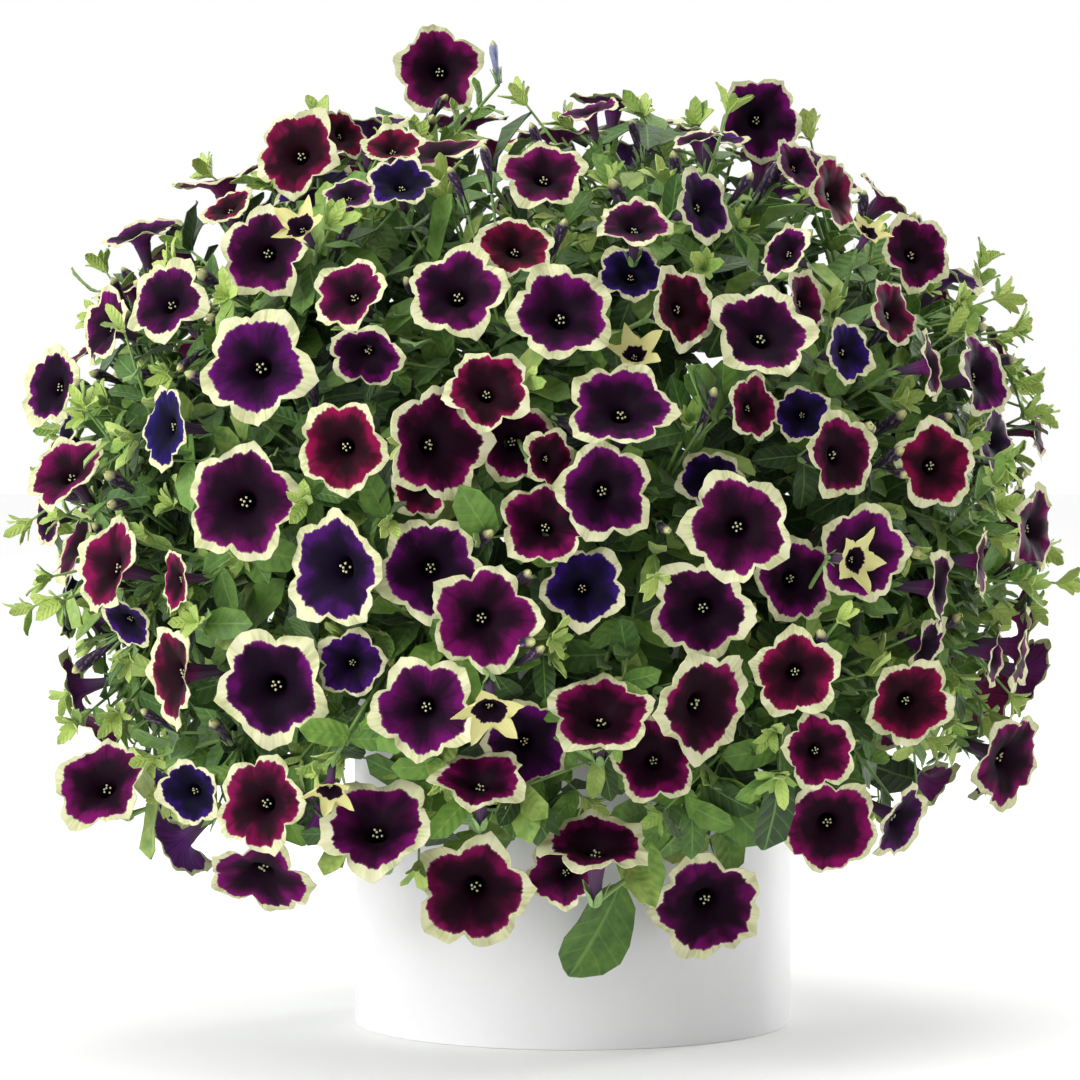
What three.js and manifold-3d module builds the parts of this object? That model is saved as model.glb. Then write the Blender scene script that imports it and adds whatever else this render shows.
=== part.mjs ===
// A petunia in full flower, mounded over a plain white pot and trailing down round it.
// Millimetres, +Z up. The origin is the middle of the pot's underside and the front faces -Y.

import * as THREE from 'three';
import { mergeVertices } from 'three/addons/utils/BufferGeometryUtils.js';
import Module from 'manifold-3d';

const wasm = await Module();
wasm.setup();

// Pot and soil
const potRadius = 120;
const potHeight = 205;
const potWall = 4;
const potFloor = 6;
const potEdge = 1.5;
const potSides = 32;
const drainRadius = 5;
const drainRing = 62;
const drainCount = 4;
const drainSides = 8;
const soilTop = 186;
const soilCrown = 6;
const soilSides = 24;
const soilPlay = 0.7;
const gap = 0.3;

// Mound that the blooms lie on: its middle, its reach each way, and how square its profile is.
// Below its middle it keeps at least the skirt's radius from the pot's axis at the front.
const moundMiddle = { x: -15, y: 0, z: 290 };
const moundAcross = 272;
const moundDeep = 258;
const moundAbove = 222;
const moundBelow = 222;
const domedPower = 2.2;
const hangingPower = 4;
const skirtRadius = 170;

// Where a person stands who sees the front blooms as they are listed below
const eye = { x: -18, y: -2996, z: 414 };

// Stems: how high on the mound the first and last go, how far from the axis their feet stand, and
// how deep under the mound they end
const stemCount = 26;
const stemHighest = 0.93;
const stemLowest = -0.74;
const stemTurn = 0.4;
const footNearest = 14;
const footSpread = 74;
const stemFootDepth = 28;
const stemHoleRoom = 1.4;
const stemSides = 3;
const stemRadius = 2.6;
const stemTipRadius = 2;
const stemRings = [0, 0.18, 0.38, 0.6, 0.8, 1];
const leastClimb = 150;
const liftShare = 0.45;
const bendShare = 0.85;
const hubDepthAbove = 84;
const hubDepthBelow = 56;
const hubLength = 14;
const hubRadius = 6.6;
const rimClearance = 58;

// Blooms, as shares of half their width
const tubeLength = 1.25;
const tubeRadius = 0.1;
const tubeSides = 3;
const lobeTipDrop = 0.1;
const throatDepth = 0.3;
const throatBack = 0.42;
const throatRadius = 0.28;
const openNotch = 0.87;
const youngNotch = 0.5;
const lobes = 5;
const stalkRadius = 1.1;

// How much room blooms leave one another
const bloomGap = 2.4;
const limbSlope = 0.55;
const limbMiddle = 3;
const farApart = 170;
const tubeRoom = 9;
const tubeStalkRoom = 6;
const stalkRoom = 4;
const settleStep = 4;
const settleMost = 14;
const towardEye = 0.62;

// Blooms of the crown, the sides and the back
const backBlooms = 164;
const backHighest = 1;
const backLowest = -0.93;
const backStart = -40;
const crownStart = 0.72;
const crownFront = -110;
const backLift = 0.2;
const backTurn = 20;
const backTip = 16;
const backSmallest = 42;
const backLargest = 60;
const backDepth = 16;
const tonePower = 1.3;

// Shoots, and the leaves on them and on the stems: each leaf's place along, lean from the line it
// grows on, least and greatest length, and width as a share of its length
const shootRadius = 1.5;
const shootPlaces = [0.55, 0.82];
const shootLean = 0.85;
const shootTries = 6;
const shootLeast = 40;
const shootMost = 112;
const shootStart = 30;
const shootStep = 4;
const shootCover = 8;
const shootRoom = 5;
const leafTries = 4;
const stemLeaves = [[0.5, 1, 46, 58, 0.52], [0.9, 1, 46, 58, 0.52]];
const shootLeaves = [[0.42, 0.95, 40, 54, 0.5], [0.7, 0.85, 34, 46, 0.46], [0.9, 0.5, 22, 30, 0.34]];
const leafLight = 0.8;
const leafBroadest = 0.45;
const ribDepth = 0.9;
const leafFold = 0.14;
const leafArch = 0.16;
const smallLeaf = 32;
const leafSections = [[0.32, 0.5], [0.68, 0.38]];
const smallLeafSections = [[0.42, 0.5]];
const leafRoom = 1;

// Blooms seen from the front: across from the pot's axis, height, width, then how far each is
// turned to the right and tipped up in degrees, and its tone from 0, crimson, to 1, blue violet.
const frontBlooms = [
  [-75, 522, 52, -10, -24, 0.35], [-152, 478, 50, -15, -2, 0.15], [103, 496, 50, 8, -22, 0.5],
  [-16, 467, 47, 0, 22, 0.35], [34, 440, 42, 0, 38, 0.4], [73, 449, 42, 42, 0, 0.75],
  [145, 455, 43, 48, -5, 0.15], [189, 423, 44, 15, 0, 0.35], [-170, 423, 50, -10, -8, 0.45],
  [-224, 397, 49, -18, 12, 0.5], [-175, 361, 62, -10, 0, 0.6], [-287, 350, 48, -20, 0, 0.55],
  [-64, 402, 54, -5, 15, 0.45], [-6, 390, 57, 5, 15, 0.5], [105, 380, 57, 5, 22, 0.45],
  [226, 356, 48, 40, 5, 0.5], [-225, 328, 45, -42, 0, 1], [-279, 304, 50, -15, 38, 0.3],
  [-183, 286, 63, -5, 0, 0.45], [-127, 316, 50, -10, -5, 0.12], [-74, 318, 60, 36, 0, 0.3],
  [27, 339, 56, 0, 33, 0.5], [18, 292, 53, 10, 0, 0.5], [-15, 275, 49, 0, 25, 0.3],
  [6, 239, 45, 5, 10, 0.95], [148, 312, 48, 30, 0, 0.25], [200, 306, 49, 10, 0, 0.12],
  [91, 272, 59, -5, 0, 0.4], [-132, 249, 65, -32, 0, 0.8], [-78, 249, 57, 5, 0, 0.55],
  [-49, 221, 57, 10, 0, 0.4], [71, 226, 56, -10, -5, 0.45], [160, 257, 53, 10, 0, 0.5],
  [256, 271, 48, 35, 0, 0.4], [226, 253, 39, 60, 0, 0.3], [249, 205, 50, 60, 0, 0.35],
  [-257, 251, 55, -38, 15, 0.2], [-222, 191, 55, -48, 5, 0.15], [-166, 183, 63, -5, 0, 0.55],
  [-82, 172, 56, -5, 5, 0.5], [-51, 135, 50, 0, 69, 0.3], [16, 171, 57, 0, 57, 0.25],
  [74, 173, 61, 34, 0, 0.25], [123, 191, 48, -5, 0, 0.15], [186, 175, 49, 5, 0, 0.12],
  [136, 149, 42, 10, 15, 0.25], [142, 106, 55, 0, -5, 0.3], [182, 109, 45, 45, -10, 0.6],
  [242, 143, 56, 30, 0, 0.35], [-109, 109, 63, -5, 54, 0.45], [-173, 121, 53, -20, 25, 0.2],
  [-211, 125, 39, -15, 0, 0.95], [-260, 132, 57, -10, 50, 0.4], [-173, 77, 58, -10, -30, 0.45],
  [-54, 70, 63, 0, 0, 0.25], [75, 62, 64, 5, -5, 0.45], [13, 100, 59, 0, 78, 0.3],
  [-99, 482, 36, 0, 35, 0.1], [8, 502, 35, -55, 45, 0.45], [67, 486, 28, -50, 50, 0.5],
  [-238, 435, 46, -30, 50, 0.55], [-258, 383, 43, -38, 5, 0.45], [-31, 427, 43, 10, 25, 0.1],
  [32, 412, 37, 0, 20, 0.95], [62, 393, 45, 35, 0, 0.15], [-123, 401, 43, -25, 15, 0.3],
  [-113, 365, 40, 0, -45, 0.5], [177, 390, 38, 40, 5, 0.2], [198, 361, 38, 62, 0, 0.4],
  [-47, 348, 46, 5, 20, 0.15], [-31, 320, 48, 20, 5, 0.3], [123, 243, 48, 15, 0, 0.45],
  [256, 326, 35, 50, 0, 0.3], [-290, 276, 31, -30, 0, 0.6], [-220, 243, 35, -50, 0, 0.2],
  [-24, 153, 48, 20, 5, 0.6], [45, 144, 45, 0, 20, 0.3], [-6, 81, 40, -20, 15, 0.35],
  [-125, 488, 30, 50, 0, 0.1], [-94, 462, 37, 0, 30, 0.95], [-190, 449, 33, -30, 30, 0.15],
  [-123, 456, 31, 0, 40, 0.55], [124, 471, 32, 35, 10, 0.45], [115, 424, 33, -55, 10, 0.5],
  [129, 396, 38, 48, 0, 0.25], [152, 369, 36, 35, 0, 0.95], [100, 338, 36, 35, 0, 0.2],
  [125, 334, 31, -20, 0, 0.95], [234, 320, 39, 42, 0, 0.7], [76, 299, 37, 0, 28, 0.9],
  [204, 238, 46, 60, 0, 0.5], [196, 205, 39, 50, -15, 0.55], [234, 202, 36, 60, 0, 0.45],
  [-84, 293, 33, 0, -10, 0.15], [-12, 310, 32, 35, 0, 0.2], [-122, 197, 37, 0, 5, 0.85],
  [-246, 219, 32, -20, -25, 0.9],
];

// Young blooms, half open, that stand proud of the rest, listed the same way without a tone
const youngBlooms = [
  [-46, 169, 40, 0, -35], [34, 369, 34, 0, 35], [157, 254, 35, 30, 0], [-150, 438, 32, -20, 20],
  [-134, 125, 30, 0, -40], [163, 435, 26, 30, 30],
];
const youngProud = 26;

const degree = Math.PI / 180;
const fullTurn = 2 * Math.PI;
const goldenAngle = 137.508 * degree;
const upward = new THREE.Vector3(0, 0, 1);
const middle = new THREE.Vector3(moundMiddle.x, moundMiddle.y, moundMiddle.z);
const eyePlace = new THREE.Vector3(eye.x, eye.y, eye.z);

// Seeded draws between 0 and 1
let seed = 8656;
function draw() {
  seed = (seed * 16807) % 2147483647;
  return seed / 2147483647;
}

function between(low, high) {
  return low + (high - low) * draw();
}

// A point so far along a direction from another
function along(start, direction, distance) {
  return start.clone().addScaledVector(direction, distance);
}

function direction(from, to) {
  return to.clone().sub(from).normalize();
}

// Two directions square to an axis and to each other, u x v = axis, with u as near the hint as it can be
function squareTo(axis, hint) {
  const u = along(hint, axis, -axis.dot(hint)).normalize();
  return [u, new THREE.Vector3().crossVectors(axis, u)];
}

// Mound

// How wide the mound is at a height, as a share of its widest
function girth(z) {
  const above = z > middle.z;
  const share = Math.abs(z - middle.z) / (above ? moundAbove : moundBelow);
  const power = above ? domedPower : hangingPower;
  return Math.max(0, 1 - share ** power) ** (1 / power);
}

function moundPlace(rise, angle) {
  const z = middle.z + rise * (rise > 0 ? moundAbove : moundBelow);
  const wide = girth(z);
  return new THREE.Vector3(
    middle.x + moundAcross * wide * Math.cos(angle),
    moundDeep * wide * Math.sin(angle),
    z,
  );
}

function insideMound(place) {
  const x = (place.x - middle.x) / moundAcross;
  const y = place.y / moundDeep;
  return x * x + y * y < girth(place.z) ** 2;
}

// The mound's outward direction near a place
function outward(place) {
  const tall = place.z > middle.z ? moundAbove : moundBelow;
  return new THREE.Vector3(
    (place.x - middle.x) / moundAcross ** 2,
    place.y / moundDeep ** 2,
    (place.z - middle.z) / tall ** 2,
  ).normalize();
}

// The place on the mound's front that is seen so far across from the pot's axis and so high
function seenPlace(across, up) {
  const sight = new THREE.Vector3(across, 0, up).sub(eyePlace);
  let place = along(eyePlace, sight, 1);
  for (let round = 0; round < 6; round += 1) {
    const x = (place.x - middle.x) / moundAcross;
    const ahead = moundDeep * Math.sqrt(Math.max(0, girth(place.z) ** 2 - x * x));
    const skirt = place.z < middle.z ? Math.sqrt(Math.max(0, skirtRadius ** 2 - place.x ** 2)) : 0;
    place = along(eyePlace, sight, (Math.max(ahead, skirt) + eyePlace.y) / eyePlace.y);
  }
  return place;
}

// A direction turned to the right and tipped up by degrees
function turned(facing, turn, tip) {
  const angle = Math.atan2(facing.x, -facing.y) + turn * degree;
  const rise = Math.asin(facing.z) + tip * degree;
  return new THREE.Vector3(
    Math.cos(rise) * Math.sin(angle),
    -Math.cos(rise) * Math.cos(angle),
    Math.sin(rise),
  );
}

// Stems: each rises from its own hole in the soil, bends out to its part of the mound and ends at
// a hub, where the spray of blooms that it carries begins.

function stemRoute(k) {
  const lowered = (k + 0.5) / stemCount;
  const rise = stemHighest + (stemLowest - stemHighest) * lowered;
  const surface = moundPlace(rise, k * goldenAngle + stemTurn);
  const sunk = rise > 0 ? hubDepthAbove : hubDepthAbove + (hubDepthBelow - hubDepthAbove) * -rise;
  const hub = along(surface, outward(surface), -sunk);
  const reach = Math.hypot(hub.x, hub.y);
  const footRadius = footNearest + footSpread * Math.sqrt(lowered);
  const foot = new THREE.Vector3((hub.x / reach) * footRadius, (hub.y / reach) * footRadius, soilTop);
  const climb = Math.max(hub.z - soilTop, leastClimb);
  const lift = along(foot, upward, liftShare * climb);
  const bend = foot.clone().lerp(hub, bendShare);
  bend.z = Math.max(hub.z - (1 - bendShare) * climb, potHeight + rimClearance);
  const curve = new THREE.CubicBezierCurve3(foot, lift, bend, hub);
  const points = stemRings.map((share) => curve.getPoint(share));
  return { hub, foot, points, heading: direction(bend, hub) };
}

// A place on a stem, as a share of its way from the soil to its hub, and the stem's direction there
function onStem({ points }, share) {
  const leg = stemRings.findIndex((end) => end >= share) - 1;
  const part = (share - stemRings[leg]) / (stemRings[leg + 1] - stemRings[leg]);
  return [points[leg].clone().lerp(points[leg + 1], part), direction(points[leg], points[leg + 1])];
}

const stems = Array.from({ length: stemCount }, (_, k) => stemRoute(k));

// Where the bloom stalks of a stem meet
function meeting(stem) {
  return along(stem.hub, stem.heading, hubLength / 2);
}

// Blooms

// How near two straight lines come, each given by its two ends
function lineGap([a, b], [c, d]) {
  const first = b.clone().sub(a);
  const second = d.clone().sub(c);
  const apart = a.clone().sub(c);
  const aa = first.dot(first);
  const bb = second.dot(second);
  const ab = first.dot(second);
  const af = first.dot(apart);
  const bf = second.dot(apart);
  const slant = aa * bb - ab * ab;
  let s = slant > 1e-6 ? Math.min(1, Math.max(0, (ab * bf - af * bb) / slant)) : 0;
  let t = (ab * s + bf) / bb;
  if (t < 0 || t > 1) {
    t = Math.min(1, Math.max(0, t));
    s = Math.min(1, Math.max(0, (ab * t - af) / aa));
  }
  return along(a, first, s).distanceTo(along(c, second, t));
}

// Whether a point lies in or too near a bloom's limb, which is a shallow cone
function inLimb(point, bloom) {
  const offset = point.clone().sub(bloom.middle);
  const height = offset.dot(bloom.facing);
  const radius = Math.sqrt(Math.max(0, offset.lengthSq() - height * height));
  const reach = bloom.size / 2;
  if (radius > reach + bloomGap) return false;
  return height < bloomGap && height > -bloomGap - limbSlope * Math.max(0, reach - radius);
}

// Whether a line goes through a bloom's limb
function piercesLimb([a, b], bloom) {
  const before = a.clone().sub(bloom.middle).dot(bloom.facing) + limbMiddle;
  const after = b.clone().sub(bloom.middle).dot(bloom.facing) + limbMiddle;
  if (before * after > 0) return false;
  const crossing = a.clone().lerp(b, before / (before - after));
  return crossing.distanceTo(bloom.middle) < bloom.size / 2 + bloomGap + stalkRadius;
}

function rimPoints(bloom) {
  const [u, v] = squareTo(bloom.facing, upward);
  return Array.from({ length: 12 }, (_, i) => {
    const angle = (i * fullTurn) / 12;
    const rim = along(bloom.middle, u, (bloom.size / 2) * Math.cos(angle));
    return rim.addScaledVector(v, (bloom.size / 2) * Math.sin(angle));
  });
}

// Works out a bloom's tube and stalk for where it now stands. Its stalk goes to the nearest hub.
function stand(bloom) {
  bloom.root = along(bloom.middle, bloom.facing, (-tubeLength * bloom.size) / 2);
  let nearest = Infinity;
  stems.forEach((stem, k) => {
    const distance = meeting(stem).distanceTo(bloom.root);
    if (distance < nearest) {
      nearest = distance;
      bloom.stem = k;
    }
  });
  bloom.tube = [bloom.middle, bloom.root];
  bloom.stalk = [bloom.root, meeting(stems[bloom.stem])];
  bloom.rim = rimPoints(bloom);
}

function bloomsClash(a, b) {
  if (a.middle.distanceTo(b.middle) > farApart) return false;
  if (a.rim.some((point) => inLimb(point, b)) || b.rim.some((point) => inLimb(point, a))) return true;
  if (piercesLimb(a.tube, b) || piercesLimb(b.tube, a)) return true;
  if (a.stem === b.stem) return false;
  if (piercesLimb(a.stalk, b) || piercesLimb(b.stalk, a)) return true;
  return (
    lineGap(a.tube, b.tube) < tubeRoom ||
    lineGap(a.tube, b.stalk) < tubeStalkRoom ||
    lineGap(a.stalk, b.tube) < tubeStalkRoom ||
    lineGap(a.stalk, b.stalk) < stalkRoom
  );
}

const blooms = [];

// Stands a bloom among the others, further in along its way until it is clear of them
function settle(bloom) {
  for (let step = 0; step < settleMost; step += 1) {
    stand(bloom);
    if (!blooms.some((other) => bloomsClash(bloom, other))) break;
    bloom.middle = along(bloom.middle, bloom.way, settleStep);
    bloom.pushed = step + 1;
  }
  stand(bloom);
  blooms.push(bloom);
}

function frontBloom([across, up, size, turn, tip, tone], proud) {
  const place = seenPlace(across, up);
  const toEye = direction(place, eyePlace);
  const facing = outward(place).lerp(toEye, towardEye).normalize();
  const way = toEye.clone().negate();
  return {
    middle: along(place, way, -proud),
    facing: turned(facing, turn, tip),
    size,
    way,
    tone,
    roll: between(0, fullTurn / lobes),
  };
}

for (const seen of frontBlooms) settle(frontBloom(seen, 0));
for (const seen of youngBlooms) settle({ ...frontBloom([...seen, 0.5], youngProud), young: true });

// The rest stand by the golden angle from the crown down, left out where the front ones are
for (let k = 0; k < backBlooms; k += 1) {
  const rise = backHighest + (backLowest - backHighest) * ((k + 0.5) / backBlooms);
  const place = moundPlace(rise, k * goldenAngle);
  const lean = along(outward(place), upward, backLift).normalize();
  const facing = turned(lean, between(-backTurn, backTurn), between(-backTip, backTip));
  const size = between(backSmallest, backLargest);
  const tone = draw() ** tonePower;
  const roll = between(0, fullTurn / lobes);
  const depth = between(0, backDepth);
  if (place.y < (rise > crownStart ? crownFront : backStart)) continue;
  const way = outward(place).negate();
  settle({ middle: along(place, way, depth), facing, size, way, tone, roll });
}

// Shoots and leaves

// Whether a line of some radius comes too near a bloom
function lineClash(line, radius) {
  return blooms.some(
    (bloom) =>
      piercesLimb(line, bloom) ||
      inLimb(line[1], bloom) ||
      lineGap(line, bloom.tube) < shootRoom + radius ||
      lineGap(line, bloom.stalk) < 2 * stalkRadius + radius,
  );
}

// A direction that leans off an axis by an angle, towards one side of it
function leaning(axis, hint, lean, angle) {
  const [u, v] = squareTo(axis, hint);
  return axis
    .clone()
    .multiplyScalar(Math.cos(lean))
    .addScaledVector(u, Math.sin(lean) * Math.cos(angle))
    .addScaledVector(v, Math.sin(lean) * Math.sin(angle));
}

const leaves = [];
const shoots = [];

// Sets a leaf on a line at a point, on the first side of it where the leaf is clear of the blooms
function setLeaf(stem, base, axis, lean, length, wide) {
  const start = between(0, fullTurn);
  for (let side = 0; side < leafTries; side += 1) {
    const heading = leaning(axis, upward, lean, start + side * goldenAngle);
    const light = along(outward(base), upward, leafLight).normalize();
    const [face, across] = squareTo(heading, light);
    const tip = along(base, heading, length);
    const broad = along(base, heading, leafBroadest * length);
    const edges = [-0.5, 0.5].map((half) => along(broad, across, half * wide * length));
    const blocked = lineClash([base, tip], leafRoom);
    if (blocked || blooms.some((bloom) => edges.some((edge) => inLimb(edge, bloom)))) continue;
    leaves.push({ stem, base, heading, face, across, length, wide });
    return;
  }
}

stems.forEach((stem, k) => {
  for (const [place, lean, least, most, wide] of stemLeaves) {
    const [base, axis] = onStem(stem, place);
    setLeaf(k, base, axis, lean, between(least, most), wide);
  }
  shootPlaces.forEach((place, side) => {
    const [base] = onStem(stem, place);
    const start = between(0, fullTurn) + side * Math.PI;
    for (let turn = 0; turn < shootTries; turn += 1) {
      const heading = leaning(outward(base), upward, shootLean, start + turn * goldenAngle);
      let length = shootStart;
      while (length < shootMost && insideMound(along(base, heading, length + shootCover))) {
        length += shootStep;
      }
      const tip = along(base, heading, length);
      const blocked = length < shootLeast || tip.z < shootLeast || lineClash([base, tip], shootRadius);
      const crossed = shoots.some(
        (other) => other.stem !== k && lineGap([base, tip], [other.base, other.tip]) < shootRoom,
      );
      if (blocked || crossed) continue;
      shoots.push({ stem: k, base, tip, heading });
      for (const [share, lean, least, most, wide] of shootLeaves) {
        setLeaf(k, along(base, heading, share * length), heading, lean, between(least, most), wide);
      }
      break;
    }
  });
});

// Solids

// A solid through rings of points that all run the same way round and start on the same side. A
// ring of one point closes an end, and any other end is capped.
function loft(rings) {
  const faces = [];
  let start = 0;
  for (let ring = 0; ring + 1 < rings.length; ring += 1) {
    const low = rings[ring].length;
    const high = rings[ring + 1].length;
    const next = start + low;
    let i = low === 1 ? 1 : 0;
    let j = high === 1 ? 1 : 0;
    while (i < low || j < high) {
      if (j === high || (i < low && (i + 0.5) / low <= (j + 0.5) / high)) {
        faces.push(start + (i % low), start + ((i + 1) % low), next + (j % high));
        i += 1;
      } else {
        faces.push(start + (i % low), next + ((j + 1) % high), next + (j % high));
        j += 1;
      }
    }
    start = next;
  }
  for (let i = 1; i + 1 < rings[0].length; i += 1) faces.push(0, i + 1, i);
  for (let i = 1; i + 1 < rings.at(-1).length; i += 1) faces.push(start, start + i, start + i + 1);
  const corners = rings.flat().flatMap((point) => point.toArray());
  const mesh = new wasm.Mesh({
    numProp: 3,
    vertProperties: new Float32Array(corners),
    triVerts: new Uint32Array(faces),
  });
  return new wasm.Manifold(mesh);
}

// A ring of points about an axis, first point towards the hint
function ring(place, axis, hint, radius, count) {
  const [u, v] = squareTo(axis, hint);
  return Array.from({ length: count }, (_, i) => {
    const angle = (i * fullTurn) / count;
    return along(along(place, u, radius * Math.cos(angle)), v, radius * Math.sin(angle));
  });
}

// Five broad lobes with pointed tips round a deep throat, then the tube behind and its stalk
function bloomSolid(bloom) {
  const reach = bloom.size / 2;
  const { middle: place, facing } = bloom;
  const [u, v] = squareTo(facing, upward);
  const spot = (radius, turn, height) => {
    const angle = bloom.roll - turn * fullTurn;
    const right = along(place, u, radius * reach * Math.cos(angle));
    return along(right, v, radius * reach * Math.sin(angle)).addScaledVector(facing, height * reach);
  };
  const notch = bloom.young ? youngNotch : openNotch;
  const rim = Array.from({ length: lobes }, (_, i) => [
    spot(1, i / lobes, -lobeTipDrop),
    spot(notch, (i + 0.5) / lobes, 0),
  ]).flat();
  const throat = Array.from({ length: tubeSides }, (_, i) => spot(throatRadius, i / tubeSides, -throatBack));
  const stalkWay = direction(bloom.root, bloom.stalk[1]);
  const mitre = stalkWay.clone().sub(facing).normalize();
  const first = direction(place, spot(1, 0, 0));
  return loft([
    [spot(0, 0, -throatDepth)],
    rim,
    throat,
    ring(bloom.root, mitre, first, tubeRadius * reach, tubeSides),
    ring(bloom.stalk[1], mitre, first, stalkRadius, tubeSides),
  ]);
}

// The knot at a stem's end where its stalks meet
function hubSolid(stem) {
  return loft([
    [stem.hub],
    ring(meeting(stem), stem.heading, upward, hubRadius, 4),
    [along(stem.hub, stem.heading, hubLength)],
  ]);
}

function stemSolid(stem) {
  const hint = new THREE.Vector3(-stem.foot.y, stem.foot.x, 0).normalize();
  const rings = stemRings.map((share, i) => {
    const last = i === stemRings.length - 1;
    const place = last ? along(stem.hub, stem.heading, -gap) : stem.points[i];
    const axis = last ? stem.heading : direction(stem.points[Math.max(0, i - 1)], stem.points[i + 1]);
    return ring(place, axis, hint, stemRadius + (stemTipRadius - stemRadius) * share, stemSides);
  });
  const foot = along(stem.foot, upward, gap - stemFootDepth);
  return loft([ring(foot, upward, hint, stemRadius, stemSides), ...rings]);
}

function shootSolid(shoot) {
  return loft([ring(shoot.base, shoot.heading, upward, shootRadius, stemSides), [shoot.tip]]);
}

// An arched blade with a keel along its rib, thickest there
function leafSolid(leaf) {
  const { base, heading, face, across, length } = leaf;
  const sections = length > smallLeaf ? leafSections : smallLeafSections;
  const spot = (share) => along(along(base, heading, share * length), face, -leafArch * share ** 2 * length);
  const rings = sections.map(([share, half]) => {
    const rib = spot(share);
    const width = half * leaf.wide * length;
    const raised = along(rib, face, leafFold * width);
    return [along(raised, across, width), along(rib, face, -ribDepth), along(raised, across, -width)];
  });
  return loft([[spot(0)], ...rings, [spot(1)]]);
}

// A turned solid from a profile of [radius, height] that starts and ends on the axis
function turnedSolid(profile, sides) {
  const geometry = new THREE.LatheGeometry(profile.map(([x, y]) => new THREE.Vector2(x, y)), sides);
  geometry.rotateX(Math.PI / 2);
  geometry.deleteAttribute('normal');
  geometry.deleteAttribute('uv');
  return solidOf(geometry);
}

function solidOf(geometry) {
  const merged = mergeVertices(geometry, 1e-4);
  const index = Array.from(merged.index.array);
  const kept = [];
  for (let i = 0; i < index.length; i += 3) {
    const [a, b, c] = index.slice(i, i + 3);
    if (a !== b && b !== c && c !== a) kept.push(a, b, c);
  }
  const mesh = new wasm.Mesh({
    numProp: 3,
    vertProperties: new Float32Array(merged.attributes.position.array),
    triVerts: new Uint32Array(kept),
  });
  return new wasm.Manifold(mesh);
}

function upright(radius, height, sides, x, y, z) {
  const geometry = new THREE.CylinderGeometry(radius, radius, height, sides);
  geometry.rotateX(Math.PI / 2);
  geometry.translate(x, y, z + height / 2);
  geometry.deleteAttribute('normal');
  geometry.deleteAttribute('uv');
  return solidOf(geometry);
}

const inner = potRadius - potWall;
let potSolid = turnedSolid(
  [
    [0, 0],
    [potRadius - potEdge, 0],
    [potRadius, potEdge],
    [potRadius, potHeight - potEdge],
    [potRadius - potEdge, potHeight],
    [inner, potHeight],
    [inner, potFloor],
    [0, potFloor],
  ],
  potSides,
);
for (let i = 0; i < drainCount; i += 1) {
  const angle = ((i + 0.5) * fullTurn) / drainCount;
  const [x, y] = [drainRing * Math.cos(angle), drainRing * Math.sin(angle)];
  const drain = upright(drainRadius, potFloor + 2, drainSides, x, y, -1);
  potSolid = potSolid.subtract(drain);
}

// The soil fills the pot and is crowned a little in the middle, with a plain hole for each stem
const soilRadius = inner - soilPlay;
let soilSolid = turnedSolid(
  [
    [0, potFloor + gap],
    [soilRadius, potFloor + gap],
    [soilRadius, soilTop - soilCrown],
    [0, soilTop],
  ],
  soilSides,
);
for (const stem of stems) {
  const { x, y } = stem.foot;
  const hole = upright(stemRadius + stemHoleRoom, 2 * stemFootDepth, 4, x, y, soilTop - stemFootDepth);
  soilSolid = soilSolid.subtract(hole);
}

// Nodes

const colours = {
  pot: { color: 0xf2f2f1, roughness: 0.3 },
  soil: { color: 0x2e221a, roughness: 0.95 },
  stem: { color: 0x4f7a2e, roughness: 0.6 },
  bloom: { color: 0x5a1248, roughness: 0.55 },
};
const potted = new THREE.Group();

function addNode(name, solid, { color, roughness }) {
  const { numProp, vertProperties, triVerts } = solid.getMesh();
  const corners = new Float32Array((vertProperties.length / numProp) * 3);
  for (let i = 0; i < corners.length; i += 1) {
    corners[i] = vertProperties[Math.floor(i / 3) * numProp + (i % 3)];
  }
  const geometry = new THREE.BufferGeometry();
  geometry.setAttribute('position', new THREE.BufferAttribute(corners, 3));
  geometry.setIndex(new THREE.BufferAttribute(new Uint32Array(triVerts), 1));
  geometry.computeVertexNormals();
  const material = new THREE.MeshStandardMaterial({ color, roughness, metalness: 0, flatShading: true });
  const mesh = new THREE.Mesh(geometry, material);
  mesh.name = name;
  potted.add(mesh);
}

addNode('pot', potSolid, colours.pot);
addNode('potting_soil', soilSolid, colours.soil);

const numbered = (name, k) => `${name}_${String(k + 1).padStart(2, '0')}`;
const sprays = stems.map((stem, k) => {
  const borne = blooms.filter((bloom) => bloom.stem === k).map(bloomSolid);
  return wasm.Manifold.union([hubSolid(stem), ...borne]);
});
const stalks = stems.map(stemSolid);

// A shoot or leaf goes on its stem only where it is clear of every other node
function isClear(solid, k) {
  const clear = (other) => solid.minGap(other, gap) >= gap;
  return (
    clear(potSolid) &&
    clear(soilSolid) &&
    sprays.every(clear) &&
    stalks.every((other, i) => i === k || clear(other))
  );
}

stems.forEach((stem, k) => {
  for (const shoot of shoots.filter((item) => item.stem === k)) {
    const solid = shootSolid(shoot);
    if (isClear(solid, k)) stalks[k] = stalks[k].add(solid);
  }
});
stems.forEach((stem, k) => {
  for (const leaf of leaves.filter((item) => item.stem === k)) {
    const solid = leafSolid(leaf);
    if (!isClear(solid, k)) continue;
    const joined = stalks[k].add(solid);
    if (joined.decompose().length === 1) stalks[k] = joined;
  }
});
stalks.forEach((solid, k) => addNode(numbered('leafy_stem', k), solid, colours.stem));
sprays.forEach((solid, k) => addNode(numbered('bloom_spray', k), solid, colours.bloom));

export default potted;
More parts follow.
